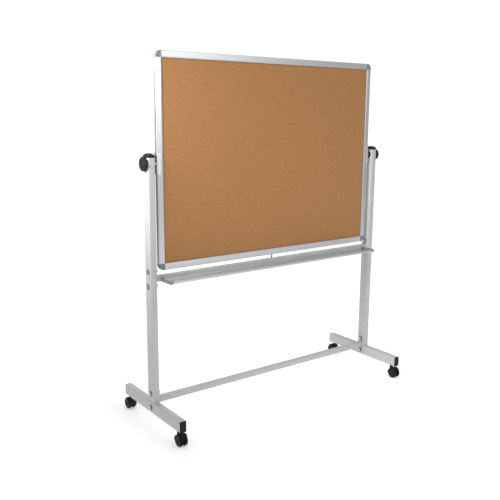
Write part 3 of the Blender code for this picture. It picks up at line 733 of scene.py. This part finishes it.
def make_upright(side):
    node = f"upright_{side}"
    low, high, middle, size = node_box(node)
    work = bmesh.new()
    at = (middle.x, middle.y, 0)
    tube(work, (size.x, size.y), 3 * MM, low.z, high.z, "Z", at)
    weld_bead(work, size.x, size.y, 3 * MM, (middle.x, middle.y, low.z), 1.2 * MM)
    show(f"upright_{side}_look", to_mesh(work, node), [node], [POWDER], 30)

    cap = f"upright_cap_{side}"
    _, cap_high, cap_middle, cap_size = node_box(cap)
    base = high.z + 0.3 * MM
    rise = cap_high.z - base
    work = bmesh.new()
    dome(
        work, cap_middle, cap_size.x, cap_size.y, base, rise, 11.5 * MM, 18 * MM, 14.5 * MM
    )
    show(f"{cap}_look", to_mesh(work, cap), [cap], [BLACK], 40)


def make_foot(side):
    node = f"foot_{side}"
    low, high, middle, size = node_box(node)
    work = bmesh.new()
    tube(work, (size.x, size.z), 3 * MM, low.y, high.y, "Y", (middle.x, 0, middle.z))
    show(f"foot_{side}_look", to_mesh(work, node), [node], [POWDER], 30)
    for end, forward in ENDS:
        cap = f"foot_cap_{end}_{side}"
        cap_low, cap_high, _, cap_size = node_box(cap)
        face = cap_low.y if forward < 0 else cap_high.y
        rings = []
        rim, thick = 3.2 * MM, 2.7 * MM
        levels = [(0.0, -thick), (0.0, -0.9 * MM), (0.25 * MM, -0.35 * MM), (0.9 * MM, 0.0)]
        levels += [(rim, 0.0), (rim + 0.5 * MM, -0.7 * MM), (rim + 1.2 * MM, -0.8 * MM)]
        for inset, depth in levels:
            outline = rounded_rect(
                cap_size.x - 2 * inset, cap_size.z - 2 * inset, max(3 * MM - 0.5 * inset, 1 * MM)
            )
            y = face + forward * depth
            rings.append([Vector((middle.x + u, y, middle.z + v)) for u, v in outline])
        work = bmesh.new()
        loft(work, rings)
        show(f"{cap}_look", to_mesh(work, cap), [cap], [BLACK], 30)


def make_crossbar(node):
    """Square tube between two welded end plates."""
    low, high, middle, size = node_box(node)
    bar, plate, corner = 25 * MM, 3 * MM, 2.5 * MM
    work = bmesh.new()
    tube(work, (bar, bar), corner, low.x + plate, high.x - plate, "X", (0, middle.y, middle.z))
    for sign, end in ((-1, low.x), (1, high.x)):
        inner = end - sign * plate
        start, stop = sorted((inner, end))
        edge = 0.5 * MM
        levels = ((edge, start), (0.0, start + edge), (0.0, stop - edge), (edge, stop))
        rings = []
        for inset, x in levels:
            outline = rounded_rect(size.y - 2 * inset, size.z - 2 * inset, 4 * MM, 6)
            rings.append([Vector((x, middle.y + u, middle.z + v)) for u, v in outline])
        loft(work, rings)
        weld_bead(work, bar, bar, corner, (inner, middle.y, middle.z), 1.4 * MM, "X")
    show(f"{node}_look", to_mesh(work, node), [node], [POWDER], 30)


# Pivot


def make_knob(side, sign):
    """Lobed hand knob: a dished face with a raised hub, on a collar."""
    node = f"knob_{side}"
    low, high, middle, size = node_box(node)
    inner = low.x if sign > 0 else high.x
    top = size.x
    count, lobes, full = 160, 10, size.y / 2
    profile = (
        (0.0, top - 1.6 * MM, 0.0),
        (5.2 * MM, top - 1.6 * MM, 0.0),
        (5.8 * MM, top - 0.3 * MM, 0.0),
        (6.4 * MM, top, 0.0),
        (9.6 * MM, top, 0.0),
        (10.4 * MM, top - 0.4 * MM, 0.0),
        (11.6 * MM, top - 2.4 * MM, 0.0),
        (13.0 * MM, top - 2.9 * MM, 0.05),
        (19.5 * MM, top - 2.7 * MM, 0.2),
        (21.6 * MM, top - 1.2 * MM, 0.5),
        (23.0 * MM, top - 0.4 * MM, 0.7),
        (25.4 * MM, top - 0.2 * MM, 0.9),
        (28.2 * MM, top - 0.6 * MM, 1.0),
        (29.5 * MM, top - 1.6 * MM, 1.0),
        (30.0 * MM, top - 3.2 * MM, 1.0),
        (30.0 * MM, top - 10.0 * MM, 1.0),
        (29.4 * MM, top - 11.8 * MM, 1.0),
        (27.6 * MM, top - 12.7 * MM, 0.9),
        (20.4 * MM, top - 12.8 * MM, 0.3),
        (19.0 * MM, top - 13.2 * MM, 0.0),
        (19.0 * MM, 0.6 * MM, 0.0),
        (18.4 * MM, 0.0, 0.0),
        (0.0, 0.0, 0.0),
    )
    work = bmesh.new()
    loops = []
    for radius, height, lobed in profile:
        x = inner + sign * height
        if radius == 0:
            loops.append([work.verts.new((x, middle.y, middle.z))])
            continue
        ring = []
        for i in range(count):
            turn = 2 * math.pi * i / count
            wave = (1 - math.cos(lobes * turn)) / 2
            reach = radius * full / (30 * MM) - lobed * 3.2 * MM * wave ** 1.4
            ring.append((x, middle.y + reach * math.cos(turn), middle.z + reach * math.sin(turn)))
        loops.append(add_ring(work, ring))
    for first, second in zip(loops, loops[1:]):
        join(work, first, second)
    show(f"{node}_look", to_mesh(work, node), [node], [BLACK], 40)


def make_bracket(side, sign):
    """Folded steel channel over the frame rail, with two rivets in each flange."""
    node = f"pivot_bracket_{side}"
    low, high, middle, size = node_box(node)
    flange, web, fold = 1.0 * MM, 1.4 * MM, 1.6 * MM
    outer = high.x if sign > 0 else low.x
    end = low.x if sign > 0 else high.x
    half = size.y / 2

    def sheet_face(inside):
        """Line from one flange's tip to the other's, along the sheet's outside or inside."""
        x_web = outer - sign * (web if inside else 0)
        y = half - (flange if inside else 0)
        radius = fold - (flange if inside else 0)
        points = [(end, -y)]
        for i in range(7):
            angle = math.radians(-90 + 90 * i / 6)
            points.append((x_web - sign * radius + sign * radius * math.cos(angle),
                           -y + radius + radius * math.sin(angle)))
        points.append((x_web, -6.5 * MM))
        return points + [(x, -v) for x, v in reversed(points)]

    outline = sheet_face(False) + list(reversed(sheet_face(True)))
    work = bmesh.new()
    loft(work, [[Vector((x, y, z)) for x, y in outline] for z in (low.z, high.z)])
    base = half - 0.3 * MM
    rivet = [(0.0, base), (2.6 * MM, base), (2.6 * MM, base + 0.35 * MM),
             (2.0 * MM, half + 0.5 * MM), (0.0, half + 0.62 * MM)]
    for forward in (-1, 1):
        for up in (-1, 1):
            at = (outer - sign * 12.5 * MM, 0, middle.z + up * (size.z / 2 - 9 * MM))
            turned(work, rivet, "Y", at, 24, forward)
    # The web's faces get the darker copy of the plate: painted shade for the gap beside the
    # upright.
    for face in work.faces:
        centre = face.calc_center_median()
        if abs(centre.x - outer) < 0.5 * MM and abs(centre.y) < 5.0 * MM:
            face.material_index = 1
    show(f"{node}_look", to_mesh(work, node), [node], [STEEL, BRACKET_WEB_SHADE], 30)


def make_pivot(side, sign):
    make_bracket(side, sign)
    node = f"pivot_bolt_{side}"
    low, high, middle, size = node_box(node)
    start = low.x if sign > 0 else -high.x
    end = high.x if sign > 0 else -low.x
    _, _, washer_middle, washer_size = node_box(f"pivot_washer_{side}")
    washer_inner = abs(washer_middle.x) - washer_size.x / 2
    at = (0, middle.y, middle.z)
    radius, near, far = size.y / 2, start + 1.7 * MM, washer_inner - 0.3 * MM
    work = bmesh.new()
    edge = 0.6 * MM
    profile = [(0.0, start), (5.0 * MM, start), (5.0 * MM, near), (radius - edge, near),
               (radius, near + edge), (radius, far - edge), (radius - edge, far), (5.0 * MM, far)]
    profile += threaded(far, end, 5.0 * MM)[1:]
    turned(work, profile, "X", at, 36, sign)
    show(f"{node}_look", to_mesh(work, node), [node], [STEEL], 30)

    node = f"pivot_washer_{side}"
    work = bmesh.new()
    washer(work, washer_inner, washer_size.x, washer_size.z / 2, 5.4 * MM, "X", at, sign)
    show(f"{node}_look", to_mesh(work, node), [node], [BLACK], 30)
    make_knob(side, sign)


# Tray


def tray_section(deep, tall, flange):
    """Section of the tray: (forward from the crossbar, up from the bottom)."""
    wall = 2 * MM
    points = [(0.3 * MM, 0.0), (0.0, 0.3 * MM), (0.0, flange - 0.4 * MM), (0.4 * MM, flange)]
    points += [(wall - 0.4 * MM, flange), (wall, flange - 0.4 * MM)]
    points += arc((wall + 1.2 * MM, wall + 1.2 * MM), 1.2 * MM, 180, 270, 4)
    for i in range(1, 5):
        at = i * (deep - 2 * wall) / 5 + wall
        points += [(at - 0.8 * MM, wall), (at - 0.5 * MM, wall - 0.4 * MM)]
        points += [(at + 0.5 * MM, wall - 0.4 * MM), (at + 0.8 * MM, wall)]
    points += arc((deep - wall - 2.0 * MM, wall + 2.0 * MM), 2.0 * MM, -90, 0, 5)
    points += [(deep - wall, tall - 3.2 * MM), (deep - wall - 0.5 * MM, tall - 2.4 * MM)]
    points += arc((deep - 1.3 * MM, tall - 1.3 * MM), 1.3 * MM, 170, 0, 8)
    points += [(deep, 3.6 * MM)]
    points += arc((deep - 3.4 * MM, 3.4 * MM), 3.4 * MM, 0, -90, 6)
    return points


def make_tray():
    low, high, _, size = node_box("pen_tray")
    work = bmesh.new()
    outline = tray_section(size.y, size.z, 7.5 * MM)
    rings = [[Vector((x, high.y - u, low.z + v)) for u, v in outline] for x in (low.x, high.x)]
    loft(work, rings)
    show("pen_tray_look", to_mesh(work, "pen_tray"), ["pen_tray"], [TRAY], 30)
    for side, sign in SIDES:
        make_tray_cap(f"tray_end_cap_{side}", sign)


def make_tray_cap(node, sign):
    """Moulded end cap: a floor, and a wall that turns round the front corner."""
    low, high, _, size = node_box(node)
    outer = high.x if sign > 0 else low.x
    radius, back_radius, wall = 9 * MM, 3 * MM, 2.3 * MM

    def path(inset):
        points = [(size.x, inset)]
        points += arc((back_radius, back_radius), back_radius - inset, 270, 180, 6)
        points += arc((radius, size.y - radius), radius - inset, 180, 90, 12)
        points.append((size.x, size.y - inset))
        return [(outer - sign * x, high.y - y) for x, y in points]

    work = bmesh.new()
    prism(work, path(0.0) + list(reversed(path(wall))), low.z, high.z)
    prism(work, path(0.4 * MM), low.z + 0.01 * MM, low.z + wall)
    show(f"{node}_look", to_mesh(work, node), [node], [GREY], 30, 0.5 * MM)


# Board lock


def make_lock():
    low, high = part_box("lock_strike")
    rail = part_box("frame_rail_bottom")[0].z
    work = bmesh.new()
    profile = [
        (3.6 * MM, high.z), (5.0 * MM, high.z), (5.0 * MM, rail - 0.3 * MM),
        (6.9 * MM, rail - 0.3 * MM), (7.5 * MM, rail - 0.8 * MM), (7.5 * MM, low.z + 0.7 * MM),
        (7.2 * MM, low.z + 0.2 * MM), (6.6 * MM, low.z), (4.6 * MM, low.z),
        (3.6 * MM, low.z + 0.8 * MM),
    ]
    turned(work, profile, "Z", (0, 0, 0), 48)
    show("lock_strike_look", to_mesh(work, "lock_strike"), ["lock_strike"], [ZINC], 30)

    low, high, _, size = node_box("lock_pin")
    collar = size.x / 2
    collar_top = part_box("upper_crossbar")[1].z
    bar_top = (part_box("upper_crossbar")[0].z + collar_top) / 2 + 12.5 * MM
    top = bar_top - 1.8 * MM
    work = bmesh.new()
    profile = [
        (0.0, high.z), (2.0 * MM, high.z), (2.7 * MM, high.z - 0.5 * MM),
        (3.0 * MM, high.z - 1.4 * MM), (3.0 * MM, top), (collar - 0.4 * MM, top),
        (collar, top - 0.4 * MM), (collar, top - 1.6 * MM), (collar - 0.4 * MM, top - 2.0 * MM),
        (3.0 * MM, top - 2.0 * MM), (3.0 * MM, low.z + 0.8 * MM), (2.4 * MM, low.z + 0.1 * MM),
        (0.0, low.z),
    ]
    turned(work, profile, "Z", (0, 0, 0), 40)
    pin = show("lock_pin_look", to_mesh(work, "lock_pin"), ["lock_pin"], [ZINC], 30)
    drill(pin, "X", (0, 0, low.z + 3.3 * MM), 1.9 * MM, 10 * MM)
    make_ring()
    make_spring()


def make_ring():
    """Round wire ring, its ends butted at the side."""
    _, _, middle, size = node_box("pull_ring")
    wire = size.y / 2
    reach = size.z / 2 - wire
    work = bmesh.new()
    count = 96
    rings = []
    for i in range(count):
        turn = 2 * math.pi * i / count
        thin = 0.82 if i == 24 else 1.0
        out = Vector((math.cos(turn), 0, math.sin(turn)))
        rings.append([
            Vector((0, 0, middle.z)) + out * (reach + thin * wire * math.cos(a))
            + Vector((0, thin * wire * math.sin(a), 0))
            for a in (2 * math.pi * k / 20 for k in range(20))
        ])
    loft(work, rings, closed=True)
    show("pull_ring_look", to_mesh(work, "pull_ring"), ["pull_ring"], [ZINC], 40)


def make_spring():
    """Coil with closed ends. The real spring shortens as the pin is pulled; this one is built at a
    single length.
    """
    low, high, _, size = node_box("lock_spring")
    wire = 0.5 * MM
    reach = size.x / 2 - wire
    turns, steps = 7, 28
    start, end = low.z + wire, high.z - wire
    closed = 0.8
    rings = []
    for i in range(turns * steps + 1):
        turn = i / steps
        share = min(max((turn - closed) / (turns - 2 * closed), 0.0), 1.0)
        z = start + 0.9 * MM * min(turn, closed) / closed * 0.6
        z += share * (end - start - 1.1 * MM)
        z += 0.9 * MM * max(turn - turns + closed, 0.0) / closed * 0.6
        angle = 2 * math.pi * turn
        out = Vector((math.cos(angle), math.sin(angle), 0))
        rings.append([
            Vector((0, 0, min(z, end))) + out * (reach + wire * math.cos(a))
            + Vector((0, 0, wire * math.sin(a)))
            for a in (2 * math.pi * k / 10 for k in range(10))
        ])
    work = bmesh.new()
    loft(work, rings)
    spring = show("lock_spring_look", to_mesh(work, "lock_spring"), ["lock_spring"], [ZINC], 40)
    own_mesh(spring)


# Casters


def make_wheel(node, sign):
    """Moulded wheel: a crowned tread, a raised rim and a dished disc with a hub."""
    low, high, middle, size = node_box(node)
    inner = low.x if sign > 0 else -high.x
    wide = size.x
    work = bmesh.new()
    outside = [
        (0.0, wide - 0.5 * MM, 1), (3.4 * MM, wide - 0.5 * MM, 1), (4.2 * MM, wide - 0.9 * MM, 1),
        (4.6 * MM, wide - 1.3 * MM, 1), (5.0 * MM, wide - 0.2 * MM, 1), (5.5 * MM, wide, 1),
        (7.2 * MM, wide, 1), (7.9 * MM, wide - 0.4 * MM, 1), (8.6 * MM, wide - 2.2 * MM, 1),
        (9.4 * MM, wide - 2.7 * MM, 1), (16.3 * MM, wide - 2.7 * MM, 1),
        (17.2 * MM, wide - 2.2 * MM, 1), (17.9 * MM, wide - 0.6 * MM, 1),
        (18.6 * MM, wide - 0.1 * MM, 1), (19.8 * MM, wide, 1), (21.0 * MM, wide - 0.2 * MM, 0),
        (22.6 * MM, wide - 0.9 * MM, 0), (24.0 * MM, wide - 2.2 * MM, 0),
        (24.8 * MM, wide - 3.9 * MM, 0), (25.0 * MM, wide - 5.4 * MM, 0),
    ]
    inside = [
        (25.0 * MM, 3.4 * MM, 0), (24.7 * MM, 1.6 * MM, 0), (23.9 * MM, 0.5 * MM, 0),
        (22.8 * MM, 0.0, 0), (3.4 * MM, 0.0, 0), (0.0, 0.2 * MM, 0),
    ]
    profile = outside + inside
    at = (0, middle.y, middle.z)
    materials = [p[2] for p in profile]
    turned(work, [(r, inner + h) for r, h, _ in profile], "X", at, 72, sign, materials)
    show(f"{node}_look", to_mesh(work, node), [node], [TYRE, HUB], 30)


def arc_ring(place, forward, degrees, section):
    """Section of (across, out) points, stood on an arc about the axle."""
    angle = math.radians(degrees)
    out = Vector((0, forward * math.cos(angle), math.sin(angle)))
    return [place + Vector((x, 0, 0)) + out * r for x, r in section]


def make_hood(node, forward):
    """Fender over the two wheels, open outwards, with its web, swivel neck, stem and axle."""
    _, high, middle, size = node_box(node)
    axle = node_box(node.replace("hood", "wheel") + "_left")[2]
    place = Vector((middle.x, axle.y, axle.z))
    outer, shell, half = 26.5 * MM, 1.1 * MM, size.x / 2
    brow, back, steps = 49, 193, 40
    edge = 0.5 * MM
    work = bmesh.new()
    rings = []
    for i in range(steps + 1):
        share = i / steps
        lip = min(1.0, 12 * share + 0.35, 12 * (1 - share) + 0.35)
        inner = outer - shell * lip
        wide = half - 0.6 * MM * (1 - lip)
        section = [
            (-wide + edge, outer), (-wide, outer - 0.4 * shell), (-wide, inner),
            (wide, inner), (wide, outer - 0.4 * shell), (wide - edge, outer),
        ]
        rings.append(arc_ring(place, forward, brow + (back - brow) * share, section))
    loft(work, rings)

    web, reach = 4 * MM, outer - 0.6 * MM
    outline = arc((0, 0), reach, brow, back, steps)
    outline += [(outline[-1][0], -6 * MM), (16.5 * MM, -6 * MM)]
    rings = [
        [Vector((middle.x + x, axle.y + forward * u, axle.z + v)) for u, v in outline]
        for x in (-web, web)
    ]
    loft(work, rings)

    stem = stem_place(node)
    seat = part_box("foot_left")[0].z - 0.3 * MM
    neck, top = 9 * MM, high.z
    profile = [
        (0.0, top), (4.2 * MM, top), (5.0 * MM, top - 0.8 * MM), (5.0 * MM, seat),
        (neck - 0.7 * MM, seat), (neck, seat - 0.7 * MM), (neck, seat - 2.6 * MM),
        (neck - 1.0 * MM, seat - 3.4 * MM), (neck - 1.0 * MM, seat - 5.0 * MM),
        (neck, seat - 7.0 * MM), (neck, axle.z + 12 * MM), (0.0, axle.z + 12 * MM),
    ]
    turned(work, profile, "Z", (stem.x, stem.y, 0), 40)
    pin = 15 * MM
    profile = [(0.0, -pin), (3.0 * MM, -pin), (3.0 * MM, pin), (0.0, pin)]
    turned(work, profile, "X", place, 24)
    show(f"{node}_look", to_mesh(work, node), [node], [BLACK], 30)


def stem_place(node):
    name = node.replace("caster_hood_", "caster_") + "_swivel"
    joint = next(j for j in frame["joints"] if j["name"] == name)
    return Vector(joint["pos_m"])


def make_lever(node, forward):
    """Brake lever that hugs the hood, with a ribbed toe pad and an upturned lip."""
    _, _, middle, size = node_box(node)
    axle = node_box(node.replace("brake_lever", "caster_wheel") + "_left")[2]
    place = Vector((middle.x, axle.y, axle.z))
    inner, thick, half = 27.0 * MM, 2.2 * MM, size.x / 2
    first, last, steps, edge = 76, 47, 24, 0.5 * MM
    rings = []
    for i in range(steps + 1):
        share = i / steps
        rib = 0.45 * MM if 0.35 < share < 0.85 and i % 3 == 0 else 0.0
        tail = max(0.0, (share - 0.84) / 0.16)
        head = max(0.0, 1 - share / 0.1)
        wide = half - 0.9 * MM * head ** 2 - 0.6 * MM * tail ** 2
        top = inner + thick * (1 - 0.5 * head) - rib + 4.8 * MM * tail ** 1.6
        base = inner + 0.6 * MM * tail
        section = [
            (-wide + edge, base), (-wide, base + edge), (-wide, top - edge), (-wide + edge, top),
            (wide - edge, top), (wide, top - edge), (wide, base + edge), (wide - edge, base),
        ]
        rings.append(arc_ring(place, forward, first + (last - first) * share, section))
    work = bmesh.new()
    loft(work, rings)
    show(f"{node}_look", to_mesh(work, node), [node], [HUB], 30)


def make_caster(end, forward, side):
    make_hood(f"caster_hood_{end}_{side}", forward)
    for wheel_side, sign in SIDES:
        make_wheel(f"caster_wheel_{end}_{side}_{wheel_side}", sign)
    if end == "front":
        make_lever(f"brake_lever_{end}_{side}", forward)


# Camera, light and floor

CAMERA_AT = (-1.9605, -2.4701, 1.3476)
CAMERA_YAW = 0.6384  # to the right of straight ahead, which is +Y
CAMERA_PITCH = 0.1998  # downwards
CAMERA_ROLL = 0.0076
CAMERA_LENS = 49.0

BACKGROUND = 1.1  # seen by the camera only
HORIZON = 0.32  # the dome's brightness at the level and overhead
ZENITH = 0.85
FLOOR_RADIUS = 4.0
FLOOR_GLOW = 0.36


def add_camera():
    """Standing to the left of the front, above the middle of the board."""
    yaw, pitch, roll = CAMERA_YAW, CAMERA_PITCH, CAMERA_ROLL
    level = math.cos(pitch)
    ahead = Vector((math.sin(yaw) * level, math.cos(yaw) * level, -math.sin(pitch)))
    right = Vector((math.cos(yaw), -math.sin(yaw), 0))
    up = right.cross(ahead)
    turned_right = math.cos(roll) * right + math.sin(roll) * up
    turned_up = math.cos(roll) * up - math.sin(roll) * right
    data = bpy.data.cameras.new("camera")
    data.sensor_width = 36.0
    data.lens = CAMERA_LENS
    camera = bpy.data.objects.new("camera", data)
    bpy.context.scene.collection.objects.link(camera)
    turn = Matrix((turned_right, turned_up, -ahead)).transposed().to_4x4()
    camera.matrix_world = Matrix.Translation(CAMERA_AT) @ turn
    bpy.context.scene.camera = camera


def add_panel(name, at, target, size, radiance, spread):
    """Square softbox that faces a point. Its light spreads over a cone of that many degrees."""
    data = bpy.data.lights.new(name, "AREA")
    data.shape = "SQUARE"
    data.size = size
    data.energy = radiance * math.pi * size * size
    data.spread = math.radians(spread)
    lamp = bpy.data.objects.new(name, data)
    bpy.context.scene.collection.objects.link(lamp)
    lamp.visible_camera = False
    lamp.location = at
    lamp.rotation_euler = (Vector(target) - Vector(at)).to_track_quat("-Z", "Y").to_euler()


def add_world(background, horizon, zenith):
    """Pure background to the camera. The object is lit by a dome that is brightest overhead."""
    world = bpy.data.worlds.new("studio")
    bpy.context.scene.world = world
    world.use_nodes = True
    tree = world.node_tree
    tree.nodes.clear()
    seen = tree.nodes.new("ShaderNodeBackground")
    seen.inputs["Color"].default_value = (1, 1, 1, 1)
    seen.inputs["Strength"].default_value = background
    where = tree.nodes.new("ShaderNodeTexCoord")
    part = tree.nodes.new("ShaderNodeSeparateXYZ")
    ramp = tree.nodes.new("ShaderNodeMapRange")
    ramp.inputs["To Min"].default_value = horizon
    ramp.inputs["To Max"].default_value = zenith
    lit = tree.nodes.new("ShaderNodeBackground")
    lit.inputs["Color"].default_value = (0.97, 0.985, 1, 1)
    ray = tree.nodes.new("ShaderNodeLightPath")
    mix = tree.nodes.new("ShaderNodeMixShader")
    out = tree.nodes.new("ShaderNodeOutputWorld")
    tree.links.new(where.outputs["Generated"], part.inputs[0])
    tree.links.new(part.outputs["Z"], ramp.inputs["Value"])
    tree.links.new(ramp.outputs["Result"], lit.inputs["Strength"])
    tree.links.new(ray.outputs["Is Camera Ray"], mix.inputs[0])
    tree.links.new(lit.outputs[0], mix.inputs[1])
    tree.links.new(seen.outputs[0], mix.inputs[2])
    tree.links.new(mix.outputs[0], out.inputs["Surface"])


def add_floor(radius, glow):
    work = bmesh.new()
    ring = [Vector((u, v, -0.0005)) for u, v in circle(radius, 96)]
    work.faces.new(add_ring(work, ring))
    floor = bpy.data.objects.new("floor", to_mesh(work, "floor"))
    bpy.context.scene.collection.objects.link(floor)
    s = Shader("floor", (0.92, 0.92, 0.92), 0.9, specular=0.0)
    s.set(s.base, "Emission Color", (1, 1, 1, 1))
    s.set(s.base, "Emission Strength", glow)
    floor.data.materials.append(s.material)


def add_stage():
    add_camera()
    add_world(BACKGROUND, HORIZON, ZENITH)
    add_floor(FLOOR_RADIUS, FLOOR_GLOW)
    add_panel("key", (-1.75, -0.20, 1.72), (-0.65, 0.05, 1.40), 0.5, 10.0, 70)
    add_panel("front_fill", (0.9, -3.6, 2.1), (-0.2, 0.0, 1.2), 2.2, 1.6, 180)
    add_panel("rear_fill", (0.6, 3.6, 2.1), (0.1, 0.0, 1.2), 2.2, 1.4, 180)
    bpy.context.scene.view_settings.view_transform = "Standard"


make_board()
make_tray()
make_lock()
for bar_level in ("upper", "lower"):
    make_crossbar(f"{bar_level}_crossbar")
    for bolt_side, bolt_sign in SIDES:
        for bolt_place in ("high", "low"):
            make_bar_bolt(f"{bar_level}_bar_bolt_{bolt_side}_{bolt_place}", bolt_sign)
for stand_side, stand_sign in SIDES:
    make_upright(stand_side)
    make_foot(stand_side)
    make_pivot(stand_side, stand_sign)
    for foot_end, foot_forward in ENDS:
        make_caster(foot_end, foot_forward, stand_side)
add_stage()
